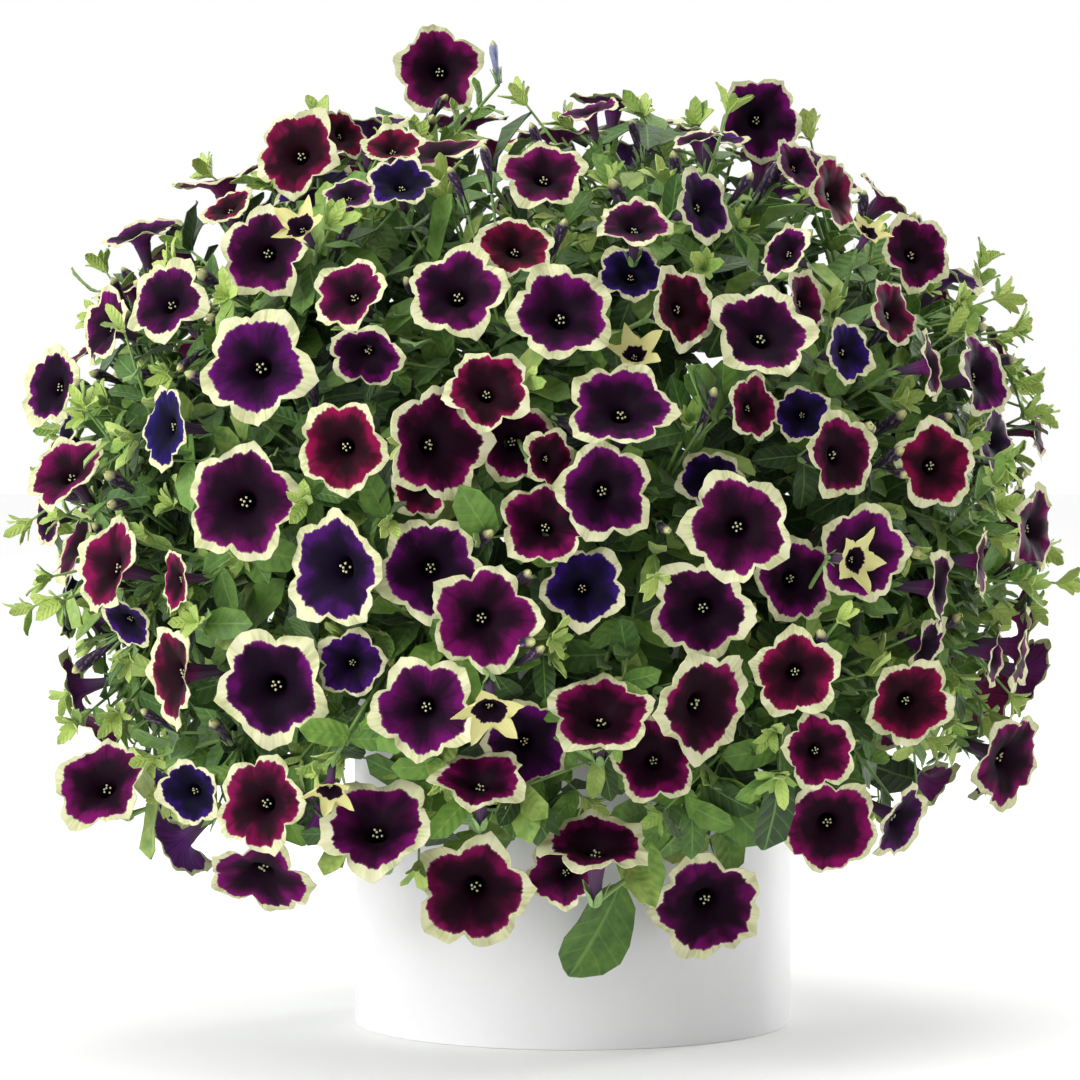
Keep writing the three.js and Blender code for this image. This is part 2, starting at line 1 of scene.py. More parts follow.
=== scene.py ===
# Potted petunia in full flower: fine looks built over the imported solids
import math
import bpy
import numpy as np
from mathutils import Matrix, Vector


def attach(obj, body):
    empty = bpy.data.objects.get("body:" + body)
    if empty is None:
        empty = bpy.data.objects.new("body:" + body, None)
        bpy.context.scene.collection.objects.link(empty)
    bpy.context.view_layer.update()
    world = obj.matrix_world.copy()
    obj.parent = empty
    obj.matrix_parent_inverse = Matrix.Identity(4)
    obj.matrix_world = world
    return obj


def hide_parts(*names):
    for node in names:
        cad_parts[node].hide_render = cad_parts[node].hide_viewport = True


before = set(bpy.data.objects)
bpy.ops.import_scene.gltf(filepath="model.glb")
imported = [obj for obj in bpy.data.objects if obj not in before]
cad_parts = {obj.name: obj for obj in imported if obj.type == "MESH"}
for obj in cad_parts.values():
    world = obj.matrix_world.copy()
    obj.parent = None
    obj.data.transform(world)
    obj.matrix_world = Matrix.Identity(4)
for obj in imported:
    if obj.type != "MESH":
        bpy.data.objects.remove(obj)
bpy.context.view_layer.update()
mm = 0.001
fullTurn = 2 * math.pi
goldenAngle = math.radians(137.508)
upward = np.array((0.0, 0.0, 1.0))

# The plant stands by the same rule as its solids, so its places are worked out here again, in millimetres

mound = {
    "middle": np.array((-15.0, 0.0, 290.0)), "across": 272, "deep": 258, "above": 222, "below": 222,
    "domedPower": 2.2, "hangingPower": 4, "skirt": 170,
}
eye = np.array((-18.0, -2996.0, 414.0))
stemPlan = {
    "count": 26, "highest": 0.93, "lowest": -0.74, "turn": 0.4, "footNearest": 14, "footSpread": 74,
    "rings": [0, 0.18, 0.38, 0.6, 0.8, 1], "leastClimb": 150, "lift": 0.45, "bend": 0.85,
    "hubDepthAbove": 84, "hubDepthBelow": 56, "hubLength": 14, "rimClearance": 58,
}
pot = {
    "radius": 120, "height": 205, "wall": 4, "floor": 6, "edge": 1.5, "sides": 160,
    "drainRadius": 5, "drainRing": 62, "drainCount": 4,
}
soil = {
    "top": 186, "crown": 6, "play": 0.7, "floorGap": 0.3, "lumpWide": 7, "lumpTall": 5,
    "crumbs": 260, "crumbSize": (0.9, 3),
}
room = {
    "limb": 2.4, "slope": 0.55, "middle": 3, "far": 170, "tubes": 9, "tubeStalk": 6, "stalks": 4,
    "step": 4, "most": 14, "stalkRadius": 1.1,
}
backPlan = {
    "count": 164, "highest": 1, "lowest": -0.93, "start": -40, "crownStart": 0.72, "crownFront": -110,
    "lift": 0.2, "turn": 20, "tip": 16, "smallest": 42, "largest": 60, "depth": 16, "tonePower": 1.3,
}
shootPlan = {
    "places": [0.55, 0.82], "lean": 0.85, "tries": 6, "least": 40, "most": 112, "start": 30, "step": 4,
    "cover": 8, "room": 5, "radius": 1.5,
}
# Place along, lean off the line it grows on, least and greatest length, width as a share of length
leafPlan = {
    "tries": 4, "light": 0.8, "broadest": 0.45, "room": 1,
    "onStems": [(0.5, 1, 46, 58, 0.52), (0.9, 1, 46, 58, 0.52)],
    "onShoots": [(0.42, 0.95, 40, 54, 0.5), (0.7, 0.85, 34, 46, 0.46), (0.9, 0.5, 22, 30, 0.34)],
}
tubeLength = 1.25

# Front blooms as they are seen: across from the pot's axis, height, width, degrees turned to the right and
# tipped up, and tone from 0, crimson, to 1, blue violet
frontBlooms = [
    (-75, 522, 52, -10, -24, 0.35), (-152, 478, 50, -15, -2, 0.15), (103, 496, 50, 8, -22, 0.5),
    (-16, 467, 47, 0, 22, 0.35), (34, 440, 42, 0, 38, 0.4), (73, 449, 42, 42, 0, 0.75),
    (145, 455, 43, 48, -5, 0.15), (189, 423, 44, 15, 0, 0.35), (-170, 423, 50, -10, -8, 0.45),
    (-224, 397, 49, -18, 12, 0.5), (-175, 361, 62, -10, 0, 0.6), (-287, 350, 48, -20, 0, 0.55),
    (-64, 402, 54, -5, 15, 0.45), (-6, 390, 57, 5, 15, 0.5), (105, 380, 57, 5, 22, 0.45),
    (226, 356, 48, 40, 5, 0.5), (-225, 328, 45, -42, 0, 1), (-279, 304, 50, -15, 38, 0.3),
    (-183, 286, 63, -5, 0, 0.45), (-127, 316, 50, -10, -5, 0.12), (-74, 318, 60, 36, 0, 0.3),
    (27, 339, 56, 0, 33, 0.5), (18, 292, 53, 10, 0, 0.5), (-15, 275, 49, 0, 25, 0.3),
    (6, 239, 45, 5, 10, 0.95), (148, 312, 48, 30, 0, 0.25), (200, 306, 49, 10, 0, 0.12),
    (91, 272, 59, -5, 0, 0.4), (-132, 249, 65, -32, 0, 0.8), (-78, 249, 57, 5, 0, 0.55),
    (-49, 221, 57, 10, 0, 0.4), (71, 226, 56, -10, -5, 0.45), (160, 257, 53, 10, 0, 0.5),
    (256, 271, 48, 35, 0, 0.4), (226, 253, 39, 60, 0, 0.3), (249, 205, 50, 60, 0, 0.35),
    (-257, 251, 55, -38, 15, 0.2), (-222, 191, 55, -48, 5, 0.15), (-166, 183, 63, -5, 0, 0.55),
    (-82, 172, 56, -5, 5, 0.5), (-51, 135, 50, 0, 69, 0.3), (16, 171, 57, 0, 57, 0.25),
    (74, 173, 61, 34, 0, 0.25), (123, 191, 48, -5, 0, 0.15), (186, 175, 49, 5, 0, 0.12),
    (136, 149, 42, 10, 15, 0.25), (142, 106, 55, 0, -5, 0.3), (182, 109, 45, 45, -10, 0.6),
    (242, 143, 56, 30, 0, 0.35), (-109, 109, 63, -5, 54, 0.45), (-173, 121, 53, -20, 25, 0.2),
    (-211, 125, 39, -15, 0, 0.95), (-260, 132, 57, -10, 50, 0.4), (-173, 77, 58, -10, -30, 0.45),
    (-54, 70, 63, 0, 0, 0.25), (75, 62, 64, 5, -5, 0.45), (13, 100, 59, 0, 78, 0.3),
    (-99, 482, 36, 0, 35, 0.1), (8, 502, 35, -55, 45, 0.45), (67, 486, 28, -50, 50, 0.5),
    (-238, 435, 46, -30, 50, 0.55), (-258, 383, 43, -38, 5, 0.45), (-31, 427, 43, 10, 25, 0.1),
    (32, 412, 37, 0, 20, 0.95), (62, 393, 45, 35, 0, 0.15), (-123, 401, 43, -25, 15, 0.3),
    (-113, 365, 40, 0, -45, 0.5), (177, 390, 38, 40, 5, 0.2), (198, 361, 38, 62, 0, 0.4),
    (-47, 348, 46, 5, 20, 0.15), (-31, 320, 48, 20, 5, 0.3), (123, 243, 48, 15, 0, 0.45),
    (256, 326, 35, 50, 0, 0.3), (-290, 276, 31, -30, 0, 0.6), (-220, 243, 35, -50, 0, 0.2),
    (-24, 153, 48, 20, 5, 0.6), (45, 144, 45, 0, 20, 0.3), (-6, 81, 40, -20, 15, 0.35),
    (-125, 488, 30, 50, 0, 0.1), (-94, 462, 37, 0, 30, 0.95), (-190, 449, 33, -30, 30, 0.15),
    (-123, 456, 31, 0, 40, 0.55), (124, 471, 32, 35, 10, 0.45), (115, 424, 33, -55, 10, 0.5),
    (129, 396, 38, 48, 0, 0.25), (152, 369, 36, 35, 0, 0.95), (100, 338, 36, 35, 0, 0.2),
    (125, 334, 31, -20, 0, 0.95), (234, 320, 39, 42, 0, 0.7), (76, 299, 37, 0, 28, 0.9),
    (204, 238, 46, 60, 0, 0.5), (196, 205, 39, 50, -15, 0.55), (234, 202, 36, 60, 0, 0.45),
    (-84, 293, 33, 0, -10, 0.15), (-12, 310, 32, 35, 0, 0.2), (-122, 197, 37, 0, 5, 0.85),
    (-246, 219, 32, -20, -25, 0.9),
]
# Young ones, half open, that stand proud of the rest, listed the same way without a tone
youngBlooms = [
    (-46, 169, 40, 0, -35), (34, 369, 34, 0, 35), (157, 254, 35, 30, 0), (-150, 438, 32, -20, 20),
    (-134, 125, 30, 0, -40), (163, 435, 26, 30, 30),
]
youngProud = 26

seed = 8656


def draw():
    global seed
    seed = seed * 16807 % 2147483647
    return seed / 2147483647


def between(low, high):
    return low + (high - low) * draw()


def span(v):
    return math.sqrt(v @ v)


def unit(v):
    return v / span(v)


def nearestStem(place):
    return int(((meetings - place) ** 2).sum(1).argmin())


def cross(a, b):
    return np.array((a[1] * b[2] - a[2] * b[1], a[2] * b[0] - a[0] * b[2], a[0] * b[1] - a[1] * b[0]))


# Two directions square to an axis and to each other, the first as near the hint as it can be
def squareTo(axis, hint):
    u = unit(hint - axis * (axis @ hint))
    return u, cross(axis, u)


# How wide the mound is at a height, as a share of its widest
def girth(z):
    above = z > mound["middle"][2]
    share = abs(z - mound["middle"][2]) / (mound["above"] if above else mound["below"])
    power = mound["domedPower"] if above else mound["hangingPower"]
    return max(0, 1 - share ** power) ** (1 / power)


def moundPlace(rise, angle):
    z = mound["middle"][2] + rise * (mound["above"] if rise > 0 else mound["below"])
    wide = girth(z)
    across = mound["middle"][0] + mound["across"] * wide * math.cos(angle)
    return np.array((across, mound["deep"] * wide * math.sin(angle), z))


def insideMound(place):
    x = (place[0] - mound["middle"][0]) / mound["across"]
    y = place[1] / mound["deep"]
    return x * x + y * y < girth(place[2]) ** 2


def outward(place):
    offset = place - mound["middle"]
    tall = mound["above"] if offset[2] > 0 else mound["below"]
    return unit(offset / np.array((mound["across"], mound["deep"], tall)) ** 2)


def seenPlace(across, up):
    sight = np.array((across, 0.0, up)) - eye
    place = eye + sight
    for step in range(6):
        x = (place[0] - mound["middle"][0]) / mound["across"]
        ahead = mound["deep"] * math.sqrt(max(0, girth(place[2]) ** 2 - x * x))
        low = place[2] < mound["middle"][2]
        skirt = math.sqrt(max(0, mound["skirt"] ** 2 - place[0] ** 2)) if low else 0
        place = eye + sight * ((max(ahead, skirt) + eye[1]) / eye[1])
    return place


def turned(facing, turn, tip):
    angle = math.atan2(facing[0], -facing[1]) + math.radians(turn)
    rise = math.asin(facing[2]) + math.radians(tip)
    return np.array((math.cos(rise) * math.sin(angle), -math.cos(rise) * math.cos(angle), math.sin(rise)))


def stemRoute(k):
    plan = stemPlan
    lowered = (k + 0.5) / plan["count"]
    rise = plan["highest"] + (plan["lowest"] - plan["highest"]) * lowered
    surface = moundPlace(rise, k * goldenAngle + plan["turn"])
    sunk = plan["hubDepthAbove"]
    if rise <= 0:
        sunk += (plan["hubDepthBelow"] - sunk) * -rise
    hub = surface - outward(surface) * sunk
    footRadius = plan["footNearest"] + plan["footSpread"] * math.sqrt(lowered)
    reach = math.hypot(hub[0], hub[1])
    foot = np.array((hub[0] / reach * footRadius, hub[1] / reach * footRadius, soil["top"]))
    climb = max(hub[2] - soil["top"], plan["leastClimb"])
    lift = foot + upward * plan["lift"] * climb
    bend = foot + (hub - foot) * plan["bend"]
    bend[2] = max(hub[2] - (1 - plan["bend"]) * climb, pot["height"] + plan["rimClearance"])

    def onCurve(t):
        s = 1 - t
        return s ** 3 * foot + 3 * s * s * t * lift + 3 * s * t * t * bend + t ** 3 * hub

    heading = unit(hub - bend)
    return {
        "hub": hub, "foot": foot, "points": [onCurve(t) for t in plan["rings"]], "curve": onCurve,
        "heading": heading, "meeting": hub + heading * plan["hubLength"] / 2,
    }


def onStem(stem, share):
    rings, points = stemPlan["rings"], stem["points"]
    leg = next(i for i, end in enumerate(rings) if end >= share) - 1
    part = (share - rings[leg]) / (rings[leg + 1] - rings[leg])
    step = points[leg + 1] - points[leg]
    return points[leg] + step * part, unit(step)


stems = [stemRoute(k) for k in range(stemPlan["count"])]


# How near two straight lines come
def lineGap(one, other):
    first, second, apart = one[1] - one[0], other[1] - other[0], one[0] - other[0]
    aa, bb, ab, af, bf = first @ first, second @ second, first @ second, first @ apart, second @ apart
    slant = aa * bb - ab * ab
    s = min(1, max(0, (ab * bf - af * bb) / slant)) if slant > 1e-6 else 0
    t = (ab * s + bf) / bb
    if t < 0 or t > 1:
        t = min(1, max(0, t))
        s = min(1, max(0, (ab * t - af) / aa))
    return span(one[0] + first * s - other[0] - second * t)


# Whether any of these points lies in or too near a bloom's limb, which is a shallow cone
def inLimb(points, bloom, spare=0):
    offset = np.atleast_2d(points) - bloom["middle"]
    height = offset @ bloom["facing"]
    radius = np.sqrt(np.maximum(0, (offset ** 2).sum(1) - height ** 2))
    reach, gap = bloom["size"] / 2, room["limb"] + spare
    within = (radius <= reach + gap) & (height < gap)
    return bool((within & (height > -gap - room["slope"] * np.maximum(0, reach - radius))).any())


def piercesLimb(line, bloom):
    before = (line[0] - bloom["middle"]) @ bloom["facing"] + room["middle"]
    after = (line[1] - bloom["middle"]) @ bloom["facing"] + room["middle"]
    if before * after > 0:
        return False
    away = line[0] + (line[1] - line[0]) * (before / (before - after)) - bloom["middle"]
    return span(away) < bloom["size"] / 2 + room["limb"] + room["stalkRadius"]


meetings = np.array([stem["meeting"] for stem in stems])
circle = [(math.cos(i * fullTurn / 12), math.sin(i * fullTurn / 12)) for i in range(12)]


def stand(bloom):
    reach = bloom["size"] / 2
    bloom["root"] = bloom["middle"] - bloom["facing"] * tubeLength * reach
    bloom["stem"] = nearestStem(bloom["root"])
    bloom["tube"] = (bloom["middle"], bloom["root"])
    bloom["stalk"] = (bloom["root"], stems[bloom["stem"]]["meeting"])
    u, v = squareTo(bloom["facing"], upward)
    bloom["rim"] = np.array([bloom["middle"] + reach * (x * u + y * v) for x, y in circle])


def bloomsClash(a, b):
    if span(a["middle"] - b["middle"]) > room["far"]:
        return False
    if inLimb(a["rim"], b) or inLimb(b["rim"], a) or piercesLimb(a["tube"], b) or piercesLimb(b["tube"], a):
        return True
    if a["stem"] == b["stem"]:
        return False
    if piercesLimb(a["stalk"], b) or piercesLimb(b["stalk"], a):
        return True
    return (
        lineGap(a["tube"], b["tube"]) < room["tubes"]
        or lineGap(a["tube"], b["stalk"]) < room["tubeStalk"]
        or lineGap(a["stalk"], b["tube"]) < room["tubeStalk"]
        or lineGap(a["stalk"], b["stalk"]) < room["stalks"]
    )


blooms = []


def settle(bloom):
    for step in range(room["most"]):
        stand(bloom)
        if not any(bloomsClash(bloom, other) for other in blooms):
            break
        bloom["middle"] = bloom["middle"] + bloom["way"] * room["step"]
    stand(bloom)
    blooms.append(bloom)


def frontBloom(across, up, size, turn, tip, tone=0.5, proud=0, young=False):
    place = seenPlace(across, up)
    toEye = unit(eye - place)
    facing = outward(place)
    facing = turned(unit(facing + (toEye - facing) * 0.62), turn, tip)
    settle({
        "middle": place + toEye * proud, "facing": facing, "size": size, "way": -toEye, "tone": tone,
        "roll": between(0, fullTurn / 5), "young": young,
    })


for seen in frontBlooms:
    frontBloom(*seen)
for seen in youngBlooms:
    frontBloom(*seen, proud=youngProud, young=True)
for k in range(backPlan["count"]):
    plan = backPlan
    rise = plan["highest"] + (plan["lowest"] - plan["highest"]) * ((k + 0.5) / plan["count"])
    place = moundPlace(rise, k * goldenAngle)
    facing = turned(
        unit(outward(place) + upward * plan["lift"]),
        between(-plan["turn"], plan["turn"]), between(-plan["tip"], plan["tip"]),
    )
    size = between(plan["smallest"], plan["largest"])
    tone = draw() ** plan["tonePower"]
    roll = between(0, fullTurn / 5)
    depth = between(0, plan["depth"])
    if place[1] < (plan["crownFront"] if rise > plan["crownStart"] else plan["start"]):
        continue
    way = -outward(place)
    settle({
        "middle": place + way * depth, "facing": facing, "size": size, "way": way, "tone": tone,
        "roll": roll, "young": False,
    })
print("blooms set:", len(blooms))


def lineClash(line, radius):
    return any(
        piercesLimb(line, bloom) or inLimb(line[1], bloom)
        or lineGap(line, bloom["tube"]) < shootPlan["room"] + radius
        or lineGap(line, bloom["stalk"]) < 2 * room["stalkRadius"] + radius
        for bloom in blooms
    )


# A direction that leans off an axis by an angle, towards one side of it
def leaning(axis, hint, lean, angle):
    u, v = squareTo(axis, hint)
    return axis * math.cos(lean) + (u * math.cos(angle) + v * math.sin(angle)) * math.sin(lean)


leaves, shoots = [], []


def setLeaf(stem, base, axis, lean, length, wide):
    start = between(0, fullTurn)
    for side in range(leafPlan["tries"]):
        heading = leaning(axis, upward, lean, start + side * goldenAngle)
        face, across = squareTo(heading, unit(outward(base) + upward * leafPlan["light"]))
        tip = base + heading * length
        broad = base + heading * leafPlan["broadest"] * length
        edges = np.array([broad + across * half * wide * length for half in (-0.5, 0.5)])
        if lineClash((base, tip), leafPlan["room"]) or any(inLimb(edges, bloom) for bloom in blooms):
            continue
        leaves.append({
            "stem": stem, "base": base, "heading": heading, "face": face, "length": length, "wide": wide,
        })
        return


for k, stem in enumerate(stems):
    for place, lean, least, most, wide in leafPlan["onStems"]:
        base, axis = onStem(stem, place)
        setLeaf(k, base, axis, lean, between(least, most), wide)
    for side, place in enumerate(shootPlan["places"]):
        base, axis = onStem(stem, place)
        start = between(0, fullTurn) + side * math.pi
        for turn in range(shootPlan["tries"]):
            heading = leaning(outward(base), upward, shootPlan["lean"], start + turn * goldenAngle)
            length, cover = shootPlan["start"], shootPlan["cover"]
            while length < shootPlan["most"] and insideMound(base + heading * (length + cover)):
                length += shootPlan["step"]
            tip = base + heading * length
            least = shootPlan["least"]
            line = (base, tip)
            if length < least or tip[2] < least or lineClash(line, shootPlan["radius"]):
                continue
            others = [other["line"] for other in shoots if other["stem"] != k]
            if any(lineGap(line, other) < shootPlan["room"] for other in others):
                continue
            shoots.append({"stem": k, "line": line, "heading": heading})
            for share, lean, low, high, wide in leafPlan["onShoots"]:
                setLeaf(k, base + heading * share * length, heading, lean, between(low, high), wide)
            break
print("large leaves and shoots set:", len(leaves), len(shoots))


# Finishes

def linear(hexColour):
    channels = [int(hexColour[i:i + 2], 16) / 255 for i in (1, 3, 5)]
    return [c / 12.92 if c <= 0.04045 else ((c + 0.055) / 1.055) ** 2.4 for c in channels] + [1]


def newMaterial(name, **sockets):
    material = bpy.data.materials.new(name)
    material.use_nodes = True
    shader = material.node_tree.nodes["Principled BSDF"]
    for socket, value in sockets.items():
        shader.inputs[socket.replace("_", " ")].default_value = value
    return material


# Adds a node, feeds its sockets and returns one of its outputs. The kind may end in an operation, unnamed
# feeds fill the sockets in order, the named are sockets or settings, and stops are a ramp's (place, colour)
def addNode(owner, kind, *feeds, out=0, stops=(), **named):
    kind, gap, operation = kind.partition(" ")
    node = owner.node_tree.nodes.new("ShaderNode" + kind)
    if operation:
        node.operation = operation
    sockets = dict(enumerate(feeds))
    for key, value in named.items():
        if key in node.inputs:
            sockets[key] = value
        else:
            setattr(node, key, value)
    for key, value in sockets.items():
        if isinstance(value, bpy.types.NodeSocket):
            owner.node_tree.links.new(value, node.inputs[key])
        else:
            node.inputs[key].default_value = value
    if stops:
        ramp = node.color_ramp.elements
        while len(ramp) < len(stops):
            ramp.new(0.5)
        for element, (place, colour) in zip(ramp, stops):
            element.position = place
            element.color = linear(colour)
    return node.outputs[out]


def feedShader(material, colour, height, strength, depth):
    bump = addNode(material, "Bump", Strength=strength, Distance=depth * mm, Height=height)
    shader = material.node_tree.nodes["Principled BSDF"]
    material.node_tree.links.new(colour, shader.inputs["Base Color"])
    material.node_tree.links.new(bump, shader.inputs["Normal"])


eased = {"interpolation_type": "SMOOTHSTEP"}
petalLook = {
    "outer": [(0, "#780a2b"), (0.3, "#650a44"), (0.6, "#4c0b50"), (1, "#1e1152")],
    # painted highlight colours: the petal's own more vivid rim with painted light on it
    "paintedHighlightTint": [(0, "#980b33"), (0.3, "#860c5a"), (0.6, "#690d72"), (1, "#2a1874")],
    "inner": [(0, "#23050e"), (0.3, "#1a0412"), (0.6, "#130418"), (1, "#09061e")],
    "cream": [(0.3, "#dedcba"), (0.5, "#d2d3a6"), (0.7, "#b7b98a")],
    # the throat colour is near black: partly the throat's own dark colour, partly painted shade down the
    # tube
    "rimLine": "#a9748c", "youngCream": "#d6d290", "throat": "#08040a",
    "borderWave": 0.34, "borderFray": 0.11, "scallop": -0.02, "star": 0.09, "veins": 13,
    "backOuter": [(0, "#8d2a5e"), (0.5, "#77307a"), (1, "#43327f")],
    "tube": [(0, "#7d6c74"), (0.45, "#55405a"), (0.7, "#3a2940"), (1, "#8a7c84")],
}


# A petunia petal: velvety, with veins that fan out, a cream edge and a painted highlight towards the rim
def petalMaterial(name, look, back):
    m = newMaterial(name, Roughness=0.6, IOR=1.36, Specular_IOR_Level=0.1)
    petal = addNode(m, "Attribute", attribute_name="petal", out="Vector")
    seedValue = addNode(m, "Attribute", attribute_name="seed", out="Fac")
    toneValue = addNode(m, "Attribute", attribute_name="tone", out="Fac")
    creamValue = addNode(m, "Attribute", attribute_name="cream", out="Fac")
    flat = addNode(m, "VectorMath MULTIPLY", petal, (1, 1, 0))
    reach = addNode(m, "VectorMath LENGTH", flat, out="Value")
    way = addNode(m, "VectorMath NORMALIZE", flat)
    shift = addNode(m, "Math MULTIPLY", seedValue, 37)
    shifted = addNode(m, "CombineXYZ", Z=shift)

    # the border's inner edge wanders with the direction from the throat
    wander = addNode(m, "VectorMath ADD", way, shifted)
    wave = addNode(m, "TexNoise", Vector=wander, Scale=1.9, Detail=3, Roughness=0.62)
    waveHalf = addNode(m, "Math SUBTRACT", wave, 0.5)
    edge = addNode(m, "Math MULTIPLY_ADD", waveHalf, look["borderWave"], reach)
    fray = addNode(m, "TexNoise", Vector=wander, Scale=7, Detail=2, Roughness=0.7)
    frayHalf = addNode(m, "Math SUBTRACT", fray, 0.5)
    edge = addNode(m, "Math MULTIPLY_ADD", frayHalf, look["borderFray"], edge)
    across, over = [addNode(m, "SeparateXYZ", flat, out=axis) for axis in "XY"]
    angle = addNode(m, "Math ARCTAN2", over, across)
    five = addNode(m, "Math MULTIPLY", angle, 5)
    lobe = addNode(m, "Math COSINE", five)
    edge = addNode(m, "Math MULTIPLY_ADD", lobe, -look["scallop"], edge)
    edge = addNode(m, "Math ADD", edge, creamValue)
    border = addNode(m, "MapRange", edge, 0.985, 1, **eased)
    nearBorder = addNode(m, "MapRange", edge, 0.955, 0.995, **eased)

    # veins fan out from the throat and fork a little
    fan = addNode(m, "VectorMath SCALE", way, Scale=look["veins"])
    fan = addNode(m, "VectorMath ADD", fan, flat)
    fan = addNode(m, "VectorMath ADD", fan, shifted)
    veins = addNode(m, "TexNoise", Vector=fan, Scale=1, Detail=2, Roughness=0.7)
    peaks = addNode(m, "Math MAXIMUM", lobe, 0)
    ribs = addNode(m, "Math POWER", peaks, 40)
    cloud = addNode(m, "VectorMath ADD", flat, shifted)
    cloud = addNode(m, "TexNoise", Vector=cloud, Scale=2.4, Detail=2)

    outer = addNode(m, "ValToRGB", toneValue, stops=look["backOuter"] if back else look["outer"])
    inner = addNode(m, "ValToRGB", toneValue, stops=look["inner"])
    veinShare = addNode(m, "MapRange", veins, 0.42, 0.68)
    veined = addNode(m, "MixRGB", veinShare, outer, inner)
    body = addNode(m, "MixRGB", 0.55, outer, veined)
    lit = addNode(m, "Math MULTIPLY_ADD", cloud, 0.5, reach)
    if back:
        tubeWay = addNode(m, "SeparateXYZ", petal, out="Z")
        tubeColour = addNode(m, "ValToRGB", veins, stops=look["tube"])
        onLimb = addNode(m, "MapRange", tubeWay, -0.75, -0.2, **eased)
        body = addNode(m, "MixRGB", onLimb, tubeColour, body)
    else:
        lit = addNode(m, "Math MULTIPLY_ADD", lobe, -look["star"], lit)
        lit = addNode(m, "Math MULTIPLY_ADD", seedValue, 0.22, lit)
        spread = addNode(m, "MapRange", lit, 0.72, 1.4, **eased)
        body = addNode(m, "MixRGB", spread, inner, body)
        # painted highlight: noisy patches towards the rim turn brighter, partly the petal's own vivid rim
        # and partly painted light
        paintedHighlightMask = addNode(m, "Math MULTIPLY_ADD", cloud, 0.9, reach)
        paintedHighlightMask = addNode(m, "MapRange", paintedHighlightMask, 1.02, 1.46, 0, 0.75, **eased)
        paintedHighlightTint = addNode(m, "ValToRGB", toneValue, stops=look["paintedHighlightTint"])
        body = addNode(m, "MixRGB", paintedHighlightMask, body, paintedHighlightTint)
        ribDark = addNode(m, "Math MULTIPLY", ribs, 0.45)
        body = addNode(m, "MixRGB", ribDark, body, inner)
        # the deep throat goes near black: partly its own dark colour, partly painted shade down the tube
        throat = addNode(m, "MapRange", reach, 0.22, 0.13)
        body = addNode(m, "MixRGB", throat, body, linear(look["throat"]))
    creamMix = addNode(m, "Math MULTIPLY_ADD", veins, 0.7, cloud)
    creamMix = addNode(m, "Math SUBTRACT", creamMix, 0.35)
    creamShade = addNode(m, "ValToRGB", creamMix, stops=look["cream"])
    young = addNode(m, "MapRange", creamValue, 0.28, 0.36)
    creamShade = addNode(m, "MixRGB", young, creamShade, linear(look["youngCream"]))
    lined = addNode(m, "MixRGB", nearBorder, body, linear(look["rimLine"]))
    body = addNode(m, "MixRGB", 0.45, body, lined)
    colour = addNode(m, "MixRGB", border, body, creamShade)
    height = addNode(m, "MixRGB", 0.3, veins, ribs)
    feedShader(m, colour, height, 0.35, 0.4)
    return m


leafLook = {
    "greens": [(0, "#1d3611"), (0.35, "#3a611e"), (0.7, "#6b9435"), (1, "#b6cc6a")],
    "veins": "#7fa552", "sideVeins": 6, "sweep": 1.3, "mottle": 160,
}


# A petunia leaf: soft, sticky-haired and matt, quilted between pale veins
def leafMaterial(name, look):
    m = newMaterial(name, Roughness=0.52, IOR=1.42, Sheen_Weight=0.2, Sheen_Roughness=0.5)
    leaf = addNode(m, "Attribute", attribute_name="leaf", out="Vector")
    across, along, toneAndDepthShade = [addNode(m, "SeparateXYZ", leaf, out=axis) for axis in "XYZ"]
    place = addNode(m, "TexCoord", out="Object")
    side = addNode(m, "Math ABSOLUTE", across)
    mottle = addNode(m, "TexNoise", Vector=place, Scale=look["mottle"], Detail=3)
    # a leaf's third value is its own tone, lighter at young tips, with painted shade that darkens leaves
    # deep in the mound
    shade = addNode(m, "Math MULTIPLY_ADD", mottle, 0.5, toneAndDepthShade)
    shade = addNode(m, "Math SUBTRACT", shade, 0.25)
    green = addNode(m, "ValToRGB", shade, stops=look["greens"])
    midrib = addNode(m, "MapRange", side, 0.09, 0.02, 0, 0.6)
    sweep = addNode(m, "Math MULTIPLY", side, -look["sweep"])
    phase = addNode(m, "Math MULTIPLY_ADD", along, look["sideVeins"], sweep)
    turn = addNode(m, "Math MULTIPLY", phase, fullTurn)
    wave = addNode(m, "Math COSINE", turn)
    sideVein = addNode(m, "MapRange", wave, 0.86, 0.99)
    sideVein = addNode(m, "Math MULTIPLY", sideVein, 0.2)
    vein = addNode(m, "Math MAXIMUM", midrib, sideVein)
    colour = addNode(m, "MixRGB", vein, green, linear(look["veins"]))
    quilt = addNode(m, "Math MULTIPLY_ADD", wave, -0.35, mottle)
    feedShader(m, colour, quilt, 0.5, 0.6)
    return m


# Plain growing or moulded stuff: a colour ramp over noise, with a fine bump
def grainedMaterial(name, stops, grain, bumpHeight, **sockets):
    m = newMaterial(name, **sockets)
    place = addNode(m, "TexCoord", out="Object")
    noise = addNode(m, "TexNoise", Vector=place, Scale=grain, Detail=4, Roughness=0.6)
    colour = addNode(m, "ValToRGB", noise, stops=stops)
    fine = addNode(m, "TexNoise", Vector=place, Scale=grain * 6, Detail=3)
    feedShader(m, colour, fine, 0.5, bumpHeight)
    return m


